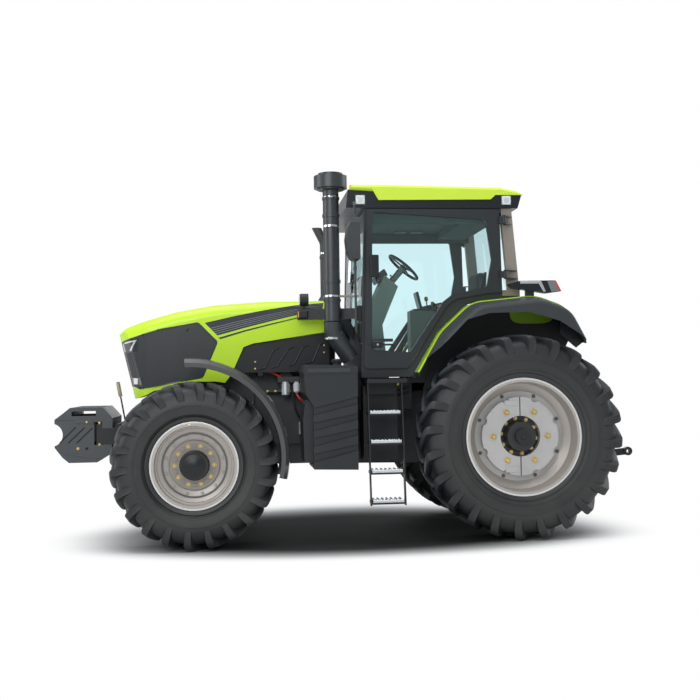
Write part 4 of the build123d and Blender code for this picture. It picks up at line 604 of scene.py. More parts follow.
for part in frame["record"]["subparts"]:
    node = nodes[part["node"]]
    finish = NODE_FINISH.get(part["node"], SLOT_FINISH[part["material_slot"]])
    node.data.materials.clear()
    node.data.materials.append(finish)


# ---------------------------------------------------------------- shapes
def flank(side, inner, outer):
    """Low and high y of a span on one side, given by its distances from the middle."""
    return sorted((side * inner, side * outer))


def rectangle(x0, z0, x1, z1):
    """Corners of a rectangle seen from the side."""
    return [(x0, z0), (x1, z0), (x1, z1), (x0, z1)]


def from_rear(line):
    """Side view points, given from the rear axle, in the tractor's frame."""
    return [(RX + x, z) for x, z in line]


def placed(points, side=1):
    """Points given by length from the rear axle, distance out on one side, and height."""
    return [(RX + x, side * y, z) for x, y, z in points]


def between(a, b, share):
    """Flat point at a share of the way from one to another."""
    return a[0] + (b[0] - a[0]) * share, a[1] + (b[1] - a[1]) * share


def beside(forward):
    """Two directions square to the given one."""
    across = forward.cross(Vector((0, 0, 1)))
    if across.length < 1e-3:
        across = forward.cross(Vector((1, 0, 0)))
    across.normalize()
    return across, across.cross(forward).normalized()


class Form:
    """One mesh gathered from several shapes, each with its own finish."""

    def __init__(self):
        self.points, self.faces, self.marks, self.finishes = [], [], [], []

    def add(self, points, faces, finish):
        """Take in the points and faces of one shape."""
        start = len(self.points)
        self.points += [tuple(p) for p in points]
        self.faces += [tuple(start + i for i in face) for face in faces]
        if finish not in self.finishes:
            self.finishes.append(finish)
        self.marks += [self.finishes.index(finish)] * len(faces)

    def loft(self, rings, finish, loop=False):
        """Skin through rings of equal count, closed at both ends or round on itself."""
        count = len(rings[0])
        points = [p for ring in rings for p in ring]
        last = len(rings) if loop else len(rings) - 1
        faces = []
        for i in range(last):
            a, b = i * count, (i + 1) % len(rings) * count
            for j in range(count):
                k = (j + 1) % count
                faces.append((a + j, a + k, b + k, b + j))
        if not loop:
            faces.append(tuple(range(count)))
            faces.append(tuple(range(len(points) - count, len(points))))
        self.add(points, faces, finish)

    def slab(self, outline, low, high, finish, axis="y", chamfer=0.0):
        """Flat outline given a thickness along y or z, with chamfered edges."""
        def lifted(ring, level):
            if axis == "y":
                return [(a, level, b) for a, b in ring]
            return [(a, b, level) for a, b in ring]

        if not chamfer:
            self.loft([lifted(outline, low), lifted(outline, high)], finish)
            return
        inner = drawn_in(outline, chamfer)
        self.loft(
            [
                lifted(inner, low), lifted(outline, low + chamfer),
                lifted(outline, high - chamfer), lifted(inner, high),
            ],
            finish,
        )

    def post(self, base, direction, rings, finish, sides=16):
        """Turned or many-sided post: each ring is its distance along and its radius."""
        forward = Vector(direction).normalized()
        across, up = beside(forward)
        turns = [2 * pi * i / sides for i in range(sides)]
        self.loft(
            [
                [
                    Vector(base) + forward * reach
                    + across * (radius * cos(turn)) + up * (radius * sin(turn))
                    for turn in turns
                ]
                for reach, radius in rings
            ],
            finish,
        )

    def ring(self, centre, section, finish, segments=64, side=1):
        """Closed section of radius and offset, turned round the axle direction."""
        x, y, z = centre
        turns = [2 * pi * i / segments for i in range(segments)]
        rings = [
            [(x + r * cos(turn), y + side * out, z + r * sin(turn)) for r, out in section]
            for turn in turns
        ]
        self.loft(rings, finish, loop=True)

    def pipe(self, route, radius, finish, sides=12):
        """Round bar or hose along a line of points."""
        points = [Vector(p) for p in route]
        rings = []
        up = None
        for i, point in enumerate(points):
            ahead = points[min(i + 1, len(points) - 1)] - points[max(i - 1, 0)]
            ahead.normalize()
            if up is None:
                across, up = beside(ahead)
            else:
                up = (up - ahead * up.dot(ahead)).normalized()
                across = ahead.cross(up).normalized()
            rings.append(
                [
                    point + across * (radius * cos(2 * pi * j / sides))
                    + up * (radius * sin(2 * pi * j / sides))
                    for j in range(sides)
                ]
            )
        self.loft(rings, finish)

    def bolt(self, place, direction, size, finish):
        """Hexagon head on a washer; size is the washer's radius."""
        self.post(place, direction, [(-0.001, size), (0.22 * size, size)], finish, 18)
        self.post(
            place, direction,
            [(0.1 * size, 0.78 * size), (0.8 * size, 0.78 * size), (0.95 * size, 0.62 * size)],
            finish, 6,
        )

    def box(self, x_span, y_span, z_span, finish, chamfer=0.0):
        """Block between two lengths from the rear axle, two y and two heights."""
        outline = rectangle(RX + x_span[0], z_span[0], RX + x_span[1], z_span[1])
        self.slab(outline, *y_span, finish, chamfer=chamfer)


LEAST_MITRE = 0.35        # keeps a sharp corner from moving too far
SIDE_SHARE = 0.45         # the most of a side that one rounded corner may take


def drawn_in(outline, by):
    """Outline moved inwards by a distance."""
    area = sum(
        a[0] * b[1] - b[0] * a[1] for a, b in zip(outline, outline[1:] + outline[:1])
    )
    hand = 1 if area > 0 else -1
    moved = []
    for i, here in enumerate(outline):
        before, after = outline[i - 1], outline[(i + 1) % len(outline)]
        e0 = Vector((here[0] - before[0], here[1] - before[1])).normalized()
        e1 = Vector((after[0] - here[0], after[1] - here[1])).normalized()
        n0, n1 = Vector((-e0.y, e0.x)), Vector((-e1.y, e1.x))
        middle = (n0 + n1).normalized()
        reach = by / max(LEAST_MITRE, middle.dot(n0))
        moved.append((here[0] + hand * middle.x * reach, here[1] + hand * middle.y * reach))
    return moved


def rounded(outline, radius, steps=4):
    """Outline with all its corners rounded."""
    soft = []
    for i, here in enumerate(outline):
        here = Vector(here)
        before, after = Vector(outline[i - 1]), Vector(outline[(i + 1) % len(outline)])
        sides = (before - here).length, (after - here).length
        reach = min(radius, SIDE_SHARE * min(sides))
        start = here + (before - here).normalized() * reach
        end = here + (after - here).normalized() * reach
        for s in range(steps + 1):
            t = s / steps
            spot = start * (1 - t) ** 2 + here * (2 * t * (1 - t)) + end * t**2
            soft.append((spot.x, spot.y))
    return soft


def smooth_route(points, steps=6):
    """Points along a smooth line through the given ones."""
    points = [Vector(p) for p in points]
    line = []
    for i in range(len(points) - 1):
        p0 = points[max(i - 1, 0)]
        p1, p2 = points[i], points[i + 1]
        p3 = points[min(i + 2, len(points) - 1)]
        for s in range(steps):
            t = s / steps
            line.append(
                0.5 * (
                    2 * p1 + (p2 - p0) * t + (2 * p0 - 5 * p1 + 4 * p2 - p3) * t**2
                    + (3 * p1 - p0 - 3 * p2 + p3) * t**3
                )
            )
    line.append(points[-1])
    return line


def dress(form, name, body, sharp=32):
    """Make a piece from a form and let it ride on a body."""
    mesh = bpy.data.meshes.new(name)
    mesh.from_pydata(form.points, [], form.faces)
    for finish in form.finishes:
        mesh.materials.append(finish)
    mesh.polygons.foreach_set("material_index", form.marks)
    work = bmesh.new()
    work.from_mesh(mesh)
    bmesh.ops.recalc_face_normals(work, faces=work.faces)
    work.to_mesh(mesh)
    work.free()
    mesh.polygons.foreach_set("use_smooth", [True] * len(mesh.polygons))
    mesh.set_sharp_from_angle(angle=radians(sharp))
    piece = new_object(name, mesh)
    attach(piece, body)
    return piece


def pair(name, body):
    """Each side in turn with an empty form, dressed as that side's piece once it is filled."""
    for side, hand in SIDES:
        form = Form()
        yield side, form
        dress(form, f"{name}_{hand}", body)


def surface_of(*names):
    """Search tree over the outside of one or more CAD nodes."""
    points, faces = [], []
    for name in names:
        mesh = nodes[name].data
        start = len(points)
        points += [v.co.copy() for v in mesh.vertices]
        faces += [tuple(start + i for i in p.vertices) for p in mesh.polygons]
    return BVHTree.FromPolygons(points, faces)


def along(line, share):
    """Point at a share of a line's length."""
    lengths = [hypot(b[0] - a[0], b[1] - a[1]) for a, b in zip(line, line[1:])]
    left = share * sum(lengths)
    for (a, b), length in zip(zip(line, line[1:]), lengths):
        if left <= length or (a, b) == (line[-2], line[-1]):
            return between(a, b, left / length)
        left -= length


RAY_START = 2.0           # outside every flank
FLANK_OUT = 0.40          # where a film lies if its surface is missed
FILM_SINK = 0.0006        # how deep a film's inner face is sunk in its surface


def film(form, skin, upper, lower, side, finish, columns=0, rows=2, thick=0.0012):
    """Thin film between two lines, laid on a flank of a CAD surface.

    Without a number of columns, the lines' own points are joined in pairs.
    """
    outer, inner = [], []
    pairs = list(zip(upper, lower))
    if columns:
        pairs = [(along(upper, i / columns), along(lower, i / columns)) for i in range(columns + 1)]
    columns = len(pairs) - 1
    for top, foot in pairs:
        for j in range(rows + 1):
            x, z = between(top, foot, j / rows)
            hit = skin.ray_cast(Vector((x, side * RAY_START, z)), Vector((0, -side, 0)))[0]
            y = hit.y if hit else side * FLANK_OUT
            outer.append((x, y + side * thick, z))
            inner.append((x, y - side * FILM_SINK, z))
    width = rows + 1
    total = len(outer)
    faces = []
    for i in range(columns):
        for j in range(rows):
            a = i * width + j
            quad = (a, a + 1, a + 1 + width, a + width)
            faces.append(quad)
            faces.append(tuple(total + k for k in reversed(quad)))
    edge = [i * width for i in range(columns + 1)]
    edge += [columns * width + j for j in range(1, width)]
    edge += [i * width + rows for i in range(columns - 1, -1, -1)]
    edge += list(range(rows - 1, 0, -1))
    for a, b in zip(edge, edge[1:] + edge[:1]):
        faces.append((a, b, total + b, total + a))
    form.add(outer + inner, faces, finish)


# ---------------------------------------------------------------- tyres
# Rings of one lug, from its nose at the tread's middle to its foot on the sidewall. Y is a share
# of the tyre's half width, a drop is below the tyre's radius, and the lead is round the wheel.
LUG_STATIONS = [
    # base y, base drop, top y, top drop, half width, lead
    (-0.07, 0.058, -0.045, 0.004, 0.019, 0.106),
    (0.12, 0.058, 0.12, 0.000, 0.024, 0.080),
    (0.32, 0.058, 0.32, 0.001, 0.026, 0.042),
    (0.52, 0.060, 0.52, 0.004, 0.029, 0.004),
    (0.70, 0.066, 0.71, 0.007, 0.032, -0.034),
    (0.80, 0.078, 0.87, 0.013, 0.036, -0.064),
    (0.86, 0.092, 0.955, 0.024, 0.038, -0.082),
    (0.90, 0.112, 0.990, 0.044, 0.039, -0.092),
    (0.92, 0.140, 0.996, 0.086, 0.040, -0.099),
    (0.93, 0.172, 0.988, 0.134, 0.039, -0.104),
    (0.945, 0.205, 0.972, 0.184, 0.036, -0.107),
]
LUG_HEIGHT = 0.046
LUG_EDGE = 0.007          # rounding along the lug's top edges
LUG_FOOT = 0.010          # how much further the lug's base reaches on each side
REAR_HALF_WIDTH = 0.295   # the lugs' widths are the rear tyre's, and narrower tyres shrink them
# Bead and sidewall as offsets from the rim's edge, then as shares of the half width and of the
# wall's height, then the shoulder down from the carcass's crown.
BEAD = [(-0.012, -0.004), (0.004, 0.010), (0.012, 0.030), (0.013, 0.040), (0.006, 0.046)]
SIDEWALL_LINE = [
    (0.925, 0.21), (0.940, 0.215), (0.948, 0.235), (0.938, 0.245), (0.962, 0.34), (0.978, 0.44),
    (0.990, 0.445), (0.992, 0.470), (0.978, 0.478), (0.972, 0.58), (0.966, 0.595), (0.915, 0.76),
]
SHOULDER = [(0.86, 0.056), (0.79, 0.028), (0.60, 0.010), (0.30, 0.002)]


def tyre(name, hub, radius, width, rim_radius, rim_half, lugs, finish, body, node):
    """Lugged tyre on its rim: a rounded carcass with chevron lugs that run down the shoulders."""
    half = width / 2
    crown = radius - LUG_HEIGHT
    wall = crown - rim_radius
    form = Form()
    flank_line = [(rim_half + y, rim_radius + r) for y, r in BEAD]
    flank_line += [(y * half, rim_radius + r * wall) for y, r in SIDEWALL_LINE]
    flank_line += [(y * half, crown - drop) for y, drop in SHOULDER]
    section = [(r, y) for y, r in flank_line] + [(crown, 0.0)]
    section += [(r, -y) for y, r in reversed(flank_line)]
    section += [(rim_radius - 0.020, 0.012 - rim_half), (rim_radius - 0.020, rim_half - 0.012)]
    form.ring(hub, section, finish, segments=4 * lugs)
    stretch = half / REAR_HALF_WIDTH
    for hand in (1, -1):
        for k in range(lugs):
            # The two rows of lugs are half a pitch apart.
            start = pi / 2 + 2 * pi * (k + (0.5 if hand < 0 else 0)) / lugs
            rings = []
            for base_y, base_drop, top_y, top_drop, half_width, lead in LUG_STATIONS:
                low_r, high_r = radius - base_drop, radius - top_drop
                leading = [
                    (base_y, low_r, half_width + LUG_FOOT), (top_y, high_r - LUG_EDGE, half_width),
                    (top_y - 0.005, high_r, half_width - LUG_EDGE),
                ]
                corners = [(y, r, -across) for y, r, across in leading] + leading[::-1]
                turns = [start - lead + across * stretch / radius for _, _, across in corners]
                rings.append([
                    (hub[0] + r * cos(turn), hub[1] + hand * y * half, hub[2] + r * sin(turn))
                    for (y, r, _), turn in zip(corners, turns)
                ])
            form.loft(rings, finish)
    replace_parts(dress(form, name, body, sharp=38), node)


# ---------------------------------------------------------------- wheels
def rim_step(radius, out):
    """Section of one pressed step inside a front rim."""
    return [
        (radius + 0.014, out), (radius + 0.014, out + 0.006), (radius, out + 0.004),
        (radius - 0.004, out - 0.02), (radius + 0.010, out - 0.02),
    ]


# Sections are radius and distance out from the wheel's middle; bolt circles are radius, count,
# start angle, distance out, size and finish; a cap's rings are distance along and radius; the
# valve's foot and tip are radius, distance out and angle.
WHEELS = {
    "front": {
        "hub": FRONT_HUB, "tyre": (0.775, 0.520, 0.406, 0.206, 22, FRONT_RUBBER),
        "sections": [
            ([(0.4055, 0.196), (0.4055, 0.2075), (0.398, 0.2085), (0.391, 0.2075),
              (0.391, 0.196)], LIP_SILVER),
            ([(0.300, 0.094), (0.300, 0.104), (0.286, 0.104), (0.286, 0.090)], RIM_SHADE),
            (rim_step(0.362, 0.150), RIM_SILVER),
            (rim_step(0.345, 0.128), RIM_SILVER),
            ([(0.1395, 0.100), (0.1395, 0.118), (0.132, 0.120), (0.130, 0.100)], SMOOTH_BLACK),
        ],
        "bolts": [
            (0.267, 12, 15, 0.085, 0.014, RIM_SILVER),
            (0.182, 10, 0, 0.095, 0.020, YELLOW_ZINC),
        ],
        "cap": (0.190, [(0, 0.105), (0.003, 0.105), (0.005, 0.100), (0.0051, 0.06),
                        (0.008, 0.055)], SMOOTH_BLACK, 40),
        "valve": [(0.372, 0.150, 84), (0.380, 0.196, 84)],
    },
    "rear": {
        "hub": REAR_HUB, "tyre": (0.975, 0.590, 0.559, 0.256, 24, REAR_RUBBER),
        "sections": [
            ([(0.5585, 0.246), (0.5585, 0.2575), (0.549, 0.2585), (0.541, 0.2575),
              (0.541, 0.246)], LIP_SILVER),
        ],
        "bolts": [
            (0.265, 6, 0, 0.120, 0.030, YELLOW_ZINC),
            (0.172, 10, 8, 0.050, 0.020, YELLOW_ZINC),
            (0.410, 8, 22.5, 0.050, 0.018, RIM_SHADE),
        ],
        "cap": (0.228, [(0, 0.062), (0.010, 0.060), (0.012, 0.050), (0.0121, 0.030),
                        (0.020, 0.026)], CHASSIS_BLACK, 32),
        "valve": [(0.520, 0.170, 222), (0.530, 0.236, 222)],
    },
}
VALVE = [(0, 0.008), (0.02, 0.008), (0.021, 0.005), (0.045, 0.005), (0.046, 0.007), (0.058, 0.006)]


def on_wheel(centre, side, radius, out, degrees):
    """Point at a radius and an angle round a wheel, a distance out from its middle."""
    turn = radians(degrees)
    return centre + Vector((radius * cos(turn), side * out, radius * sin(turn)))


def weight_pads(form, side, centre):
    """Black slab in the joint between the halves of a wheel weight, as painted shade in the gap,
    and the blank cast pads on them.
    """
    for up in (1, -1):
        z0, z1 = sorted((centre.z + up * 0.196, centre.z + up * 0.3755))
        y0, y1 = sorted((centre.y + side * 0.060, centre.y + side * 0.1215))
        # painted shade: a black slab fills the gap between the weight's halves
        form.slab(rectangle(centre.x - 0.0045, z0, centre.x + 0.0045, z1), y0, y1, HOLE_SHADE_BLACK)
        z = centre.z + up * 0.318
        pad = rounded(rectangle(centre.x + 0.020, z - 0.026, centre.x + 0.150, z + 0.026), 0.008)
        y0, y1 = sorted((centre.y + side * 0.118, centre.y + side * 0.1265))
        form.slab(pad, y0, y1, WEIGHT_GREY, chamfer=0.002)


for kind, wheel in WHEELS.items():
    for side, hand in SIDES:
        hub = wheel["hub"]
        centre = Vector((hub.x, side * hub.y, hub.z))
        outwards = (0, side, 0)
        body = f"{kind}_wheel_{hand}"
        tyre(f"{kind}_lug_tyre_{hand}", centre, *wheel["tyre"], body, f"{kind}_tyre_{hand}")
        fittings = Form()
        for section, finish in wheel["sections"]:
            fittings.ring(centre, section, finish, side=side)
        out, *cap = wheel["cap"]
        fittings.post(centre + Vector((0, side * out, 0)), outwards, *cap)
        for radius, count, start, out, size, finish in wheel["bolts"]:
            for i in range(count):
                place = on_wheel(centre, side, radius, out, start + 360 * i / count)
                fittings.bolt(place, outwards, size, finish)
        foot, tip = (on_wheel(centre, side, *end) for end in wheel["valve"])
        fittings.post(foot, tip - foot, VALVE, YELLOW_ZINC, 10)
        if kind == "rear":
            weight_pads(fittings, side, centre)
            for angle in range(0, 360, 45):
                fittings.post(
                    on_wheel(centre, side, 0.128, 0.118, angle),
                    (cos(radians(angle)), side * 0.2, sin(radians(angle))),
                    [(0, 0.011), (0.014, 0.011), (0.017, 0.008)], CHASSIS_BLACK, 8,
                )
        dress(fittings, f"{kind}_wheel_fittings_{hand}", body)

# ---------------------------------------------------------------- hood films and edges
HOOD_BAND = (
    # upper line, lower line
    [(2.993, 2.125), (2.70, 2.190), (2.40, 2.247), (2.10, 2.293), (1.806, 2.318)],
    [(2.871, 1.999), (2.60, 2.072), (2.35, 2.134), (2.08, 2.196), (1.828, 2.243)],
)
HOOD_LINE = (
    [(2.862, 1.976), (2.60, 2.050), (2.35, 2.110), (2.08, 2.170), (1.86, 2.216)],
    [(2.842, 1.962), (2.60, 2.034), (2.35, 2.096), (2.08, 2.160), (1.86, 2.210)],
)
# Where the band changes between dark and grey, as shares of its height.
BAND_EDGES = [0, 0.42, 0.46, 0.56, 0.60, 0.70, 0.74, 0.84, 0.88, 1.0]
GRILLE_BORDER = [
    # the grille's opening on a flank, from the nose round its rear to the nose again
    (3.745, 1.960), (3.623, 2.016), (3.430, 2.072), (3.056, 2.134), (2.864, 1.936),
    (3.016, 1.581), (3.632, 1.479), (3.700, 1.500),
]
LAMP_WINDOW = ([(3.795, 1.955), (3.640, 1.985)], [(3.775, 1.840), (3.700, 1.850)])
CHROME_STRIPS = [
    # upper line, lower line
    ([(3.790, 1.944), (3.660, 1.968)], [(3.788, 1.930), (3.668, 1.953)]),
    ([(3.690, 1.950), (3.735, 1.862)], [(3.672, 1.948), (3.718, 1.858)]),
    ([(3.705, 1.592), (3.655, 1.586)], [(3.700, 1.530), (3.662, 1.530)]),
]
BADGE_PLACE = (3.170, 2.062)
hood_skin = surface_of("hood_shell", "hood_grilles")
nose_skin = surface_of("hood_grilles", "headlamps", "hood_shell")


def border_line(outline, radius):
    """Open line round a border with soft corners, with four steps to each stretch."""
    corners = rounded(outline, radius, 6)[7:-7]
    return [between(a, b, i / 4) for a, b in zip(corners, corners[1:]) for i in range(5)]


for side, stripes in pair("hood_stripe_films", "hood"):
    top, foot = (from_rear(line) for line in HOOD_BAND)
    for i, (s0, s1) in enumerate(zip(BAND_EDGES, BAND_EDGES[1:])):
        film(
            stripes, hood_skin,
            *([between(a, b, share) for a, b in zip(top, foot)] for share in (s0, s1)),
            side, STRIPE_GREY if i % 2 else STRIPE_DARK, columns=28, rows=2 if s1 - s0 > 0.1 else 1,
        )
    film(
        stripes, hood_skin, *(from_rear(line) for line in HOOD_LINE), side, STRIPE_DARK,
        columns=28, rows=1,
    )

for side, nose in pair("nose_trim", "hood"):
    border = from_rear(GRILLE_BORDER)
    film(
        nose, nose_skin, border_line(border, 0.034), border_line(drawn_in(border, 0.011), 0.028),
        side, STRIPE_DARK, rows=1, thick=0.0022,
    )
    film(
        nose, nose_skin, *(from_rear(line) for line in LAMP_WINDOW), side, LAMP_DARK,
        columns=8, rows=6, thick=0.002,
    )
    for strip in CHROME_STRIPS:
        film(nose, nose_skin, *(from_rear(line) for line in strip), side, CHROME, 10, 2, 0.004)
    x, z = BADGE_PLACE
    start = Vector((RX + x, side * RAY_START, z))
    hit = nose_skin.ray_cast(start, Vector((0, -side, 0)))[0]
    nose.post(
        hit, (0, side, 0.1), [(-0.004, 0.018), (0.003, 0.018), (0.005, 0.013)], SMOOTH_BLACK, 20
    )

# ---------------------------------------------------------------- side panels and engine bay
PANEL_OUT = 0.400
PANEL_RIBS = [
    [(2.478, 1.656), (2.406, 1.672), (2.318, 1.847), (2.263, 1.872)],
    [(2.342, 1.672), (2.288, 1.686), (2.166, 1.860), (2.112, 1.881)],
    [(2.169, 1.689), (2.115, 1.703), (2.025, 1.871), (1.971, 1.895)],
    [(1.995, 1.713), (1.930, 1.727), (1.851, 1.900), (1.812, 1.912)],
]
PANEL_BOLTS = [(2.501, 1.733), (2.503, 1.666), (1.812, 1.89), (1.813, 1.819)]
BAFFLE = [(2.56, 1.62), (2.78, 1.60), (2.76, 1.93), (2.50, 1.93)]
FILTERS = [
    # x, foot, top, radius, finish
    (2.20, 1.39, 1.53, 0.044, ALUMINIUM), (2.09, 1.42, 1.53, 0.034, FILTER_WHITE),
    (1.96, 1.18, 1.36, 0.042, FILTER_WHITE),
]
ENGINE_FLANK = 0.155      # the fittings' inner ends, a little inside the engine
ENGINE_BOXES = [
    # x span, outer y, heights, finish, chamfer
    ((1.92, 2.28), 0.33, (1.52, 1.585), ENGINE_GREY, 0.006),
    ((1.985, 2.065), 0.33, (1.00, 1.125), ALUMINIUM, 0.008),
    ((1.965, 2.395), 0.29, (1.426, 1.454), ENGINE_GREY, 0.003),
]
ENGINE_HOSES = [
    (HOSE_RED, [(2.50, 0.33, 1.63), (2.42, 0.35, 1.64), (2.33, 0.35, 1.62), (2.25, 0.33, 1.58)]),
    (HOSE_RED, [(2.10, 0.325, 1.43), (2.06, 0.345, 1.36), (1.98, 0.325, 1.30)]),
    (RUBBER, [(2.16, 0.30, 1.53), (2.13, 0.34, 1.42), (2.10, 0.34, 1.25), (2.05, 0.30, 1.15)]),
    (RUBBER, [(1.98, 0.30, 1.58), (1.93, 0.35, 1.48), (1.91, 0.35, 1.30), (1.94, 0.30, 1.10)]),
]
for side, ribs in pair("side_panel_ribs", "chassis"):
    for rib in PANEL_RIBS:
        route = [Vector(p) for p in placed([(x, PANEL_OUT, z) for x, z in rib], side)]
        # More points near each bend keep the bend short.
        fine = [route[0]]
        for a, b in zip(route, route[1:]):
            fine += [a.lerp(b, share) for share in (0.15, 0.5, 0.85, 1.0)]
        ribs.pipe(fine, 0.009, SMOOTH_BLACK, sides=10)
    for x, z in PANEL_BOLTS:
        ribs.bolt((RX + x, side * PANEL_OUT, z), (0, side, 0), 0.009, YELLOW_ZINC)
    ribs.slab(from_rear(BAFFLE), *flank(side, 0.368, 0.392), CHASSIS_BLACK, chamfer=0.003)

for side, bay in pair("engine_fittings", "chassis"):
    for x, foot, top, radius, finish in FILTERS:
        high, neck = top - foot, 0.82 * radius
        bay.post(
            (RX + x, side * 0.330, foot), (0, 0, 1),
            [(0, 0.6 * radius), (0.012, radius), (high - 0.02, radius), (high - 0.018, neck),
             (high, neck)], finish, 20,
        )
        bay.box(
            (x - 0.03, x + 0.03), flank(side, ENGINE_FLANK, 0.35), (top - 0.012, top + 0.02),
            ENGINE_GREY, 0.004,
        )
    for x_span, outer, z_span, finish, chamfer in ENGINE_BOXES:
        bay.box(x_span, flank(side, ENGINE_FLANK, outer), z_span, finish, chamfer)
    for i in range(6):
        bay.bolt((RX + 1.98 + 0.08 * i, side * 0.2895, 1.44), (0, side, 0), 0.012, YELLOW_ZINC)
    for finish, route in ENGINE_HOSES:
        bay.pipe(smooth_route(placed(route, side)), 0.011, finish, sides=8)

# ---------------------------------------------------------------- front weights and coupling lever
WEIGHT_HOLES = [(4.212, 1.168), (4.142, 0.913)]
WEIGHT_BOLTS = [
    # x, z, size
    (4.140, 1.169, 0.014), (4.225, 0.915, 0.014), (4.020, 1.160, 0.012), (4.020, 0.950, 0.012),
]
WEIGHT_PADS = [
    [(4.435, 1.212), (4.263, 1.205), (4.263, 1.190), (4.435, 1.197)],
    [(4.248, 1.205), (4.085, 1.200), (4.073, 1.152), (4.248, 1.160)],
    [(4.349, 0.876), (3.993, 0.813), (3.993, 0.802), (4.349, 0.862)],
]
WEIGHT_GROOVES = [
    ((4.245, 1.122), (4.398, 0.973)),
    ((4.162, 1.117), (4.319, 0.968)),
    ((4.086, 1.112), (4.237, 0.969)),
    ((4.063, 1.157), (4.065, 0.982)),
]
GROOVE_HALF = 0.006
weight_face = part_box("front_weights")[1].y
for side, marks in pair("weight_marks", "chassis"):
    outwards = (0, side, 0)
    # painted shade: black discs stand for the holes' dark insides
    for x, z in WEIGHT_HOLES:
        place, r = (RX + x, side * weight_face, z), 0.013
        marks.post(place, outwards, [(-0.002, r), (0.0012, r)], HOLE_SHADE_BLACK, 20)
        rim = [(r, 0), (r, 0.003), (r + 0.004, 0.003), (r + 0.005, 0)]
        marks.ring(place, rim, WEIGHT_BLACK, 20, side)
    for x, z, size in WEIGHT_BOLTS:
        marks.bolt((RX + x, side * weight_face, z), outwards, size, YELLOW_ZINC)
    for pad in WEIGHT_PADS:
        y_span = flank(side, weight_face - 0.001, weight_face + 0.004)
        marks.slab(from_rear(pad), *y_span, WEIGHT_BLACK, chamfer=0.0015)
    # painted shade: flat black bars stand for the grooves' dark insides
    for ends in WEIGHT_GROOVES:
        start, end = (Vector(p) for p in from_rear(ends))
        run = (end - start).normalized()
        off = Vector((-run.y, run.x)) * GROOVE_HALF
        bar = [tuple(p) for p in (start + off, end + off, end - off, start - off)]
        marks.slab(bar, *flank(side, weight_face - 0.001, weight_face + 0.0012), HOLE_SHADE_BLACK)

lever = Form()
lever.post(
    (RX + 3.8595, 0, 1.407), (0.026, 0, 0.145),
    [(0, 0.0175), (0.006, 0.0195), (0.075, 0.0205), (0.142, 0.0195), (0.1485, 0.015)],
    TAN_GRIP, 20,
)
dress(lever, "coupling_lever_grip", "chassis")

# ---------------------------------------------------------------- cab lining and controls
lining = Form()
lining.box((0.02, 1.40), (-0.735, 0.735), (3.158, 3.198), HEADLINER, 0.012)
lining.box((0.10, 0.42), (-0.735, 0.735), (3.095, 3.160), HEADLINER, 0.012)
for side, _ in SIDES:
    lining.box((0.05, 1.38), flank(side, 0.700, 0.748), (3.06, 3.170), HEADLINER, 0.010)
    for x in (0.62, 0.80):
        # an air vent with its slats
        lining.box(
            (x, x + 0.13), flank(side, 0.40, 0.58), (3.150, 3.1585), SMOOTH_BLACK, 0.003
        )
        for i in range(5):
            slat = x + 0.015 + 0.025 * i
            lining.box((slat, slat + 0.006), flank(side, 0.41, 0.57), (3.145, 3.151), CONSOLE_GREY)
dress(lining, "headliner_panels", "chassis")

LEVERS = [
    # x, y, finish of the grip, height
    (0.60, -0.40, ORANGE_GRIP, 0.14), (0.52, -0.47, TAN_GRIP, 0.09),
    (0.45, -0.47, ORANGE_GRIP, 0.06), (0.38, -0.47, SMOOTH_BLACK, 0.06),
    (0.52, -0.40, SMOOTH_BLACK, 0.07),
]
CONTROL_PANELS = [
    # outline, corner radius, y span, chamfer: dash display, armrest screen, pillar monitor
    ([(1.11, 2.62), (1.22, 2.53), (1.255, 2.60), (1.15, 2.69)], 0.018, (-0.135, 0.135), 0.006),
    ([(0.66, 2.30), (0.69, 2.30), (0.735, 2.48), (0.705, 2.49)], 0.006, (-0.525, -0.355), 0.004),
    (rectangle(1.30, 2.44, 1.335, 2.66), 0.012, (-0.62, -0.36), 0.005),
]
controls = Form()
for y, finish in ((0.040, ORANGE_GRIP), (-0.040, SMOOTH_BLACK)):
    controls.post(
        (RX + 1.055, y, 2.585), (-0.6, 0, 0.35), [(0, 0.016), (0.012, 0.016), (0.016, 0.011)],
        finish, 18,
    )
for side, _ in SIDES:
    stalk = placed([(1.06, 0.030, 2.600), (1.04, 0.11, 2.625), (1.03, 0.185, 2.645)], side)
    controls.pipe(stalk, 0.006, SMOOTH_BLACK)
    controls.post(
        (RX + 1.03, side * 0.180, 2.644), (0, side, 0.15),
        [(0, 0.009), (0.04, 0.011), (0.045, 0.006)], SMOOTH_BLACK, 12,
    )
for outline, radius, y_span, chamfer in CONTROL_PANELS:
    controls.slab(
        rounded(from_rear(outline), radius), *y_span, SMOOTH_BLACK, chamfer=chamfer
    )
controls.box((0.22, 0.76), (-0.535, -0.350), (2.2805, 2.300), SMOOTH_BLACK, 0.006)
for x, y, finish, high in LEVERS:
    rod = high - 0.05
    controls.post(
        (RX + x, y, 2.298), (0.1, 0, 1), [(0, 0.008), (rod, 0.006)], SMOOTH_BLACK, 10
    )
    controls.post(
        (RX + x + 0.1 * rod, y, 2.298 + high - 0.055), (0.1, 0, 1),
        [(0, 0.010), (0.012, 0.020), (0.040, 0.021), (0.052, 0.012)], finish, 16,
    )
monitor_arm = placed([(1.335, -0.49, 2.54), (1.37, -0.60, 2.54), (1.408, -0.766, 2.50)])
controls.pipe(monitor_arm, 0.012, SMOOTH_BLACK)
dress(controls, "cab_controls", "chassis")


# ---------------------------------------------------------------- seat
CLOTH_FRAMES = 20
CLOTH_PRESSURE = 4.0
CLOTH_MESH = 0.011        # size of the even mesh that the cloth works on
CORE_INSET = 0.010        # how much smaller than the cushion its foam block starts
CORE_CHAMFER = 0.022


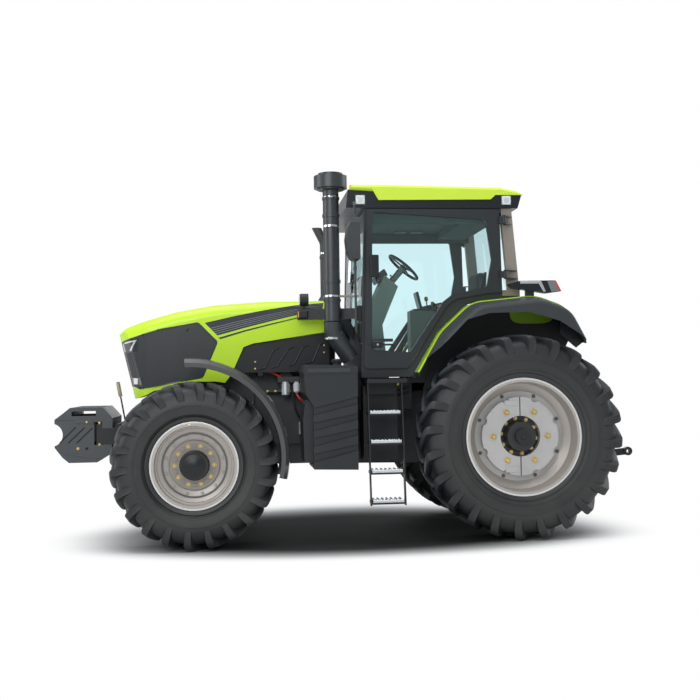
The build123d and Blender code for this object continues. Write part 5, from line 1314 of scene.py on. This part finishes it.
def apply_modifier(piece, modifier):
    """Make a modifier's result the piece's own mesh."""
    with bpy.context.temp_override(object=piece, active_object=piece):
        bpy.ops.object.modifier_apply(modifier=modifier.name)


def swollen(name, outline, y_span, cap=0.012, corner=0.05):
    """Foam cushion: a slightly small block, swollen by cloth pressure up to a cap."""
    core = Form()
    low, high = y_span
    core.slab(
        rounded(drawn_in(outline, CORE_INSET), corner, 5), low + CORE_INSET, high - CORE_INSET,
        SEAT_FABRIC, chamfer=CORE_CHAMFER,
    )
    cushion = dress(core, name, "chassis", sharp=80)
    remesh = cushion.modifiers.new("even_mesh", "REMESH")
    remesh.mode = "VOXEL"
    remesh.voxel_size = CLOTH_MESH
    apply_modifier(cushion, remesh)
    start = [v.co.copy() for v in cushion.data.vertices]
    cloth = cushion.modifiers.new("swell", "CLOTH")
    cloth.settings.quality = 4
    cloth.settings.use_pressure = True
    cloth.settings.uniform_pressure_force = CLOTH_PRESSURE
    cloth.settings.effector_weights.gravity = 0
    cloth.point_cache.frame_start = 1
    cloth.point_cache.frame_end = CLOTH_FRAMES
    for number in range(1, CLOTH_FRAMES + 1):
        scene.frame_set(number)
    apply_modifier(cushion, cloth)
    scene.frame_set(1)
    for vertex, rest in zip(cushion.data.vertices, start):
        moved = vertex.co - rest
        if moved.length > cap:
            vertex.co = rest + moved.normalized() * cap
    soft = cushion.modifiers.new("soft", "SUBSURF")
    soft.levels = soft.render_levels = 1
    apply_modifier(cushion, soft)
    cushion.data.polygons.foreach_set("use_smooth", [True] * len(cushion.data.polygons))
    cushion.data.materials.clear()
    cushion.data.materials.append(SEAT_FABRIC)


SEAT_X = 0.38             # the seat's middle, from the rear axle
SX = RX + SEAT_X


def seat_outline(points):
    """Side view points given from the seat's middle."""
    return [(SX + x, z) for x, z in points]


seat_frame = Form()
for i in range(7):
    # bellows round the suspension
    z = 1.60 + 0.05 * i
    wide = 0.150 if i % 2 else 0.172
    fold = rounded(rectangle(SX - wide, -wide, SX + wide, wide), 0.04)
    seat_frame.slab(fold, z, z + 0.049, SMOOTH_BLACK, "z", 0.012)
for x_span, half, z_span in (
    ((SEAT_X - 0.19, SEAT_X + 0.21), 0.19, (1.5505, 1.60)),
    ((SEAT_X - 0.20, SEAT_X + 0.22), 0.238, (1.945, 1.990)),
):
    seat_frame.box(x_span, (-half, half), z_span, SMOOTH_BLACK, 0.01)
for side, _ in SIDES:
    upright = seat_outline([(-0.22, 1.95), (-0.17, 1.95), (-0.17, 2.27), (-0.22, 2.29)])
    seat_frame.slab(upright, *flank(side, 0.232, 0.272), SMOOTH_BLACK, chamfer=0.006)
    arm = rounded(seat_outline(rectangle(-0.21, 2.250, 0.16, 2.286)), 0.01)
    seat_frame.slab(arm, *flank(side, 0.262, 0.328), SMOOTH_BLACK, chamfer=0.004)
back = seat_outline([(-0.250, 1.952), (-0.180, 1.952), (-0.275, 2.64), (-0.299, 2.64)])
seat_frame.slab(rounded(back, 0.02), -0.215, 0.215, SMOOTH_BLACK, chamfer=0.008)
seat_frame.pipe(
    [(SX - 0.06, 0.23, 1.975), (SX - 0.02, 0.262, 2.03), (SX - 0.06, 0.262, 2.12)], 0.006, RED
)
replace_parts(dress(seat_frame, "seat_frame", "chassis"), "seat")
swollen(
    "seat_cushion",
    seat_outline([(-0.205, 1.978), (0.25, 1.978), (0.25, 2.085), (-0.205, 2.112)]),
    (-0.245, 0.245),
)
swollen(
    "seat_backrest",
    seat_outline([(-0.245, 2.085), (-0.145, 2.085), (-0.195, 2.655), (-0.285, 2.655)]),
    (-0.232, 0.232),
)
for side, hand in SIDES:
    swollen(
        f"seat_armrest_{hand}", seat_outline(rectangle(-0.215, 2.272, 0.175, 2.325)),
        flank(side, 0.262, 0.330), cap=0.006, corner=0.02,
    )

# ---------------------------------------------------------------- door handles and catches
for side, hand in SIDES:
    outwards = (0, side, 0)
    door = Form()
    for outline, corner, y_span in (
        (rectangle(1.290, 1.842, 1.390, 1.905), 0.016, flank(side, 0.850, 0.900)),
        (rectangle(1.315, 2.52, 1.395, 2.74), 0.012, flank(side, 0.862, 0.898)),
    ):
        door.slab(
            rounded(from_rear(outline), corner), *y_span, SMOOTH_BLACK, chamfer=0.006
        )
    handle = placed([(1.185, 0.893, 1.872), (1.30, 0.893, 1.872)], side)
    door.pipe(handle, 0.0095, SMOOTH_BLACK)
    door.post((RX + 1.34, side * 0.899, 1.874), outwards, [(0, 0.012), (0.003, 0.010)], CHROME, 20)
    for z in (2.60, 2.66):
        door.bolt((RX + 1.355, side * 0.8625, z), outwards, 0.010, YELLOW_ZINC)
    dress(door, f"door_fittings_{hand}", f"door_{hand}")

# ---------------------------------------------------------------- lamps and gussets
TAIL_LAMP_LINE = [
    (-0.060, 2.470), (-0.270, 2.472), (-0.315, 2.370), (-0.290, 2.366), (-0.245, 2.446),
    (-0.060, 2.446),
]
TAIL_LAMP_PANE = [(-0.330, 2.470), (-0.408, 2.471), (-0.460, 2.375), (-0.372, 2.363)]
TAIL_LAMP_END = [(-0.400, 2.4765), (-0.4165, 2.4765), (-0.471, 2.372), (-0.452, 2.370)]
GUSSET = [(-0.466, 2.219), (-0.690, 1.878), (-0.610, 1.818), (-0.45, 1.955)]
# The lamp arm's middle line seen from above, as x and y at its ends, and half its width.
ARM_ROOT, ARM_TIP = (1.495, 0.709), (2.085, 0.543)
ARM_HALF = 0.0295


def lamp_arm_y(x):
    """How far out the lamp arm's outer face is, at a length from the rear axle."""
    return between(ARM_ROOT, ARM_TIP, (x - ARM_ROOT[0]) / (ARM_TIP[0] - ARM_ROOT[0]))[1] + ARM_HALF


for side, hand in SIDES:
    lamps = Form()
    for x in (1.435, -0.010):
        pane = from_rear(rectangle(x + 0.004, 3.236, x + 0.088, 3.318))
        lamps.slab(
            rounded(pane, 0.02), *flank(side, 0.8585, 0.8635), LENS_WHITE, chamfer=0.0015
        )
        core = rounded(drawn_in(pane, 0.016), 0.012)
        lamps.slab(core, *flank(side, 0.8630, 0.8655), LAMP_CORE, chamfer=0.001)
    # round lamp on the end of the arm, with its rim and bracket
    centre = (RX + 2.050, side * 0.546, 2.335)
    shell = [(-0.045, 0.030), (-0.030, 0.050), (0.006, 0.058), (0.010, 0.058), (0.0105, 0.050)]
    lamps.post(centre, (1, 0, 0), shell, SMOOTH_BLACK, 32)
    lens = [(0.0105, 0.050), (0.014, 0.050), (0.0165, 0.040)]
    lamps.post(centre, (1, 0, 0), lens, LENS_WHITE, 32)
    bracket = [(2.045, 0.546, 2.285), (2.02, 0.556, 2.262), (2.00, 0.565, 2.235)]
    lamps.pipe(placed(bracket, side), 0.009, SMOOTH_BLACK)
    # marker lamp on the arm's end and its amber lens
    lamps.box((1.985, 2.075), flank(side, 0.545, 0.622), (2.150, 2.226), SMOOTH_BLACK, 0.008)
    lamps.box((2.074, 2.082), flank(side, 0.560, 0.610), (2.160, 2.216), AMBER, 0.002)
    for x, z in ((1.56, 2.20), (1.60, 2.17), (1.88, 2.205), (1.92, 2.175)):
        place = (RX + x, side * lamp_arm_y(x), z)
        lamps.bolt(place, (0.27, side, 0), 0.008, CHASSIS_BLACK)
    dress(lamps, f"lamp_lenses_{hand}", "chassis")

    tail = Form()
    face = flank(side, 0.9485, 0.953)
    tail.slab(from_rear(TAIL_LAMP_LINE), *face, CHROME, chamfer=0.001)
    tail.slab(from_rear(TAIL_LAMP_PANE), *face, STRIPE_GREY, chamfer=0.001)
    tail.slab(from_rear(TAIL_LAMP_END), *flank(side, 0.885, 0.9535), RED)
    tail.post(
        (RX - 0.560, side * 0.920, 2.141), (-0.88, 0, 0.47),
        [(0, 0.020), (0.012, 0.020), (0.018, 0.014)], RED, 20,
    )
    dress(tail, f"tail_lamp_lenses_{hand}", "chassis")

for side, gusset in pair("fender_gusset", "chassis"):
    gusset.slab(from_rear(GUSSET), *flank(side, 0.930, 0.942), SMOOTH_BLACK, chamfer=0.002)
    for x, z in ((-0.53, 2.02), (-0.60, 1.90)):
        gusset.bolt((RX + x, side * 0.942, z), (0, side, 0), 0.012, CHASSIS_BLACK)


# ---------------------------------------------------------------- stacks and mirrors
def clamp_band(form, x, y, z, radius, width, sides):
    """Chrome band round a stack."""
    rings = [(0, radius), (0.002, radius + 0.002), (width - 0.002, radius + 0.002), (width, radius)]
    form.post((RX + x, y, z), (0, 0, 1), rings, CHROME, sides)


clamps = Form()
for z in (1.93, 2.34, 3.02, 3.30):
    clamp_band(clamps, 1.757, 0.750, z, 0.0785, 0.022, 48)
    clamps.box((1.745, 1.775), (0.829, 0.842), (z + 0.002, z + 0.020), CHROME, 0.002)
clamp_band(clamps, 1.685, -0.802, 2.95, 0.0492, 0.020, 40)
# bracket from the stack to the cab's front post
bracket = placed([(1.70, 0.750, 2.352), (1.60, 0.755, 2.352), (1.50, 0.760, 2.352)])
clamps.pipe(bracket, 0.011, POST_BROWN)
dress(clamps, "stack_clamps", "chassis")

MIRROR_PANE = rectangle(1.018, 2.665, 1.202, 3.043)
for side, glass in pair("mirror_glass", "chassis"):
    pane = [(side * y, z) for y, z in rounded(MIRROR_PANE, 0.03)]
    glass.loft([[(RX + x, y, z) for y, z in pane] for x in (1.5335, 1.5295)], CHROME)
    for z in (2.58, 2.96):
        clamp = placed([(1.556, 0.985, z), (1.556, 0.985, z + 0.04)], side)
        glass.pipe(clamp, 0.017, SMOOTH_BLACK)

# ---------------------------------------------------------------- steps and tanks
TREAD_LOW = 0.413
TREAD_PITCH = 0.273
TREAD_DEPTH = 0.190
TREAD_LEAN = 0.045        # each tread lies this much further in than the one below
grips = Form()
# The left ladder has four treads; the right one lacks the lowest.
for side, levels in ((1, range(4)), (-1, range(1, 4))):
    for level in levels:
        z = TREAD_LOW + TREAD_PITCH * level
        outer = 1.215 - TREAD_LEAN * level
        y0, y1 = flank(side, outer - 0.026, outer + 0.003)
        grips.box((1.160, 1.450), (y0, y1), (z - 0.016, z + 0.011), ALUMINIUM, 0.003)
        for i in range(9):
            x = 1.178 + 0.032 * i
            grips.box(
                (x, x + 0.014), (y0 + 0.004, y1 - 0.004), (z + 0.010, z + 0.016), ALUMINIUM, 0.003
            )
        strip = flank(side, outer - TREAD_DEPTH + 0.01, outer - 0.030)
        for i in range(7):
            x = 1.175 + 0.042 * i
            grips.box((x, x + 0.012), strip, (z - 0.006, z + 0.016), ALUMINIUM, 0.002)
dress(grips, "tread_grips", "chassis")

BACKING_BOLTS = [
    # x, z, finish
    (1.10, 1.49, YELLOW_ZINC), (1.20, 1.50, CHROME), (1.30, 1.47, YELLOW_ZINC),
    (1.40, 1.50, HOSE_RED), (1.44, 1.42, CHROME), (1.16, 1.38, YELLOW_ZINC),
]
BACKING_LINE = [(0.99, 0.588, 1.46), (1.15, 0.600, 1.42), (1.30, 0.600, 1.44), (1.47, 0.588, 1.37)]
for side, backing in pair("step_backing", "chassis"):
    panel = from_rear(rectangle(0.96, 1.24, 1.50, 1.555))
    backing.slab(panel, *flank(side, 0.560, 0.575), CHASSIS_BLACK, chamfer=0.003)
    for x, z, finish in BACKING_BOLTS:
        backing.bolt((RX + x, side * 0.5755, z), (0, side, 0), 0.013, finish)
    for drop in (0.0, 0.05):
        line = placed([(x, y, z - drop) for x, y, z in BACKING_LINE], side)
        backing.pipe(smooth_route(line), 0.010, RUBBER, sides=8)

FILLER_X, FILLER_Y = 1.742, 0.960
TANK_LINE = ([(2.035, 1.615), (1.635, 1.615)], [(2.035, 1.650), (1.635, 1.650)])
tank_skin = surface_of("fuel_tanks")
for side, hand in SIDES:
    filler = Form()
    filler.post(
        (RX + FILLER_X, side * FILLER_Y, 1.700), (0, 0, 1),
        [(0, 0.047), (0.006, 0.050), (0.030, 0.050), (0.038, 0.042)], SMOOTH_BLACK, 24,
    )
    for i in range(8):
        turn = 2 * pi * i / 8
        filler.post(
            (RX + FILLER_X + 0.049 * cos(turn), side * FILLER_Y + 0.049 * sin(turn), 1.704),
            (0, 0, 1), [(0, 0.006), (0.026, 0.006)], SMOOTH_BLACK, 8,
        )
    dress(filler, f"tank_filler_grip_{hand}", "chassis")

    lid_line = Form()
    film(
        lid_line, tank_skin, *(from_rear(line) for line in TANK_LINE), side, TANK_EDGE,
        10, 1, 0.002,
    )
    dress(lid_line, f"tank_lid_line_{hand}", "chassis")

# ---------------------------------------------------------------- rear couplings
couplings = Form()
# The caps of the couplings are red and blue in turn.
for i, y in enumerate((0.235, 0.185, 0.135, -0.135, -0.185, -0.235)):
    for z in (1.20, 1.29):
        couplings.post(
            (RX - 0.36, y, z), (-1, 0, 0.1),
            [(-0.03, 0.026), (0.01, 0.026), (0.011, 0.019), (0.035, 0.019)], ENGINE_GREY, 18,
        )
        couplings.post(
            (RX - 0.394, y, z + 0.0035), (-1, 0, 0.1),
            [(0, 0.022), (0.012, 0.022), (0.016, 0.016)], HOSE_BLUE if i % 2 else HOSE_RED, 18,
        )
dress(couplings, "rear_couplings", "chassis")
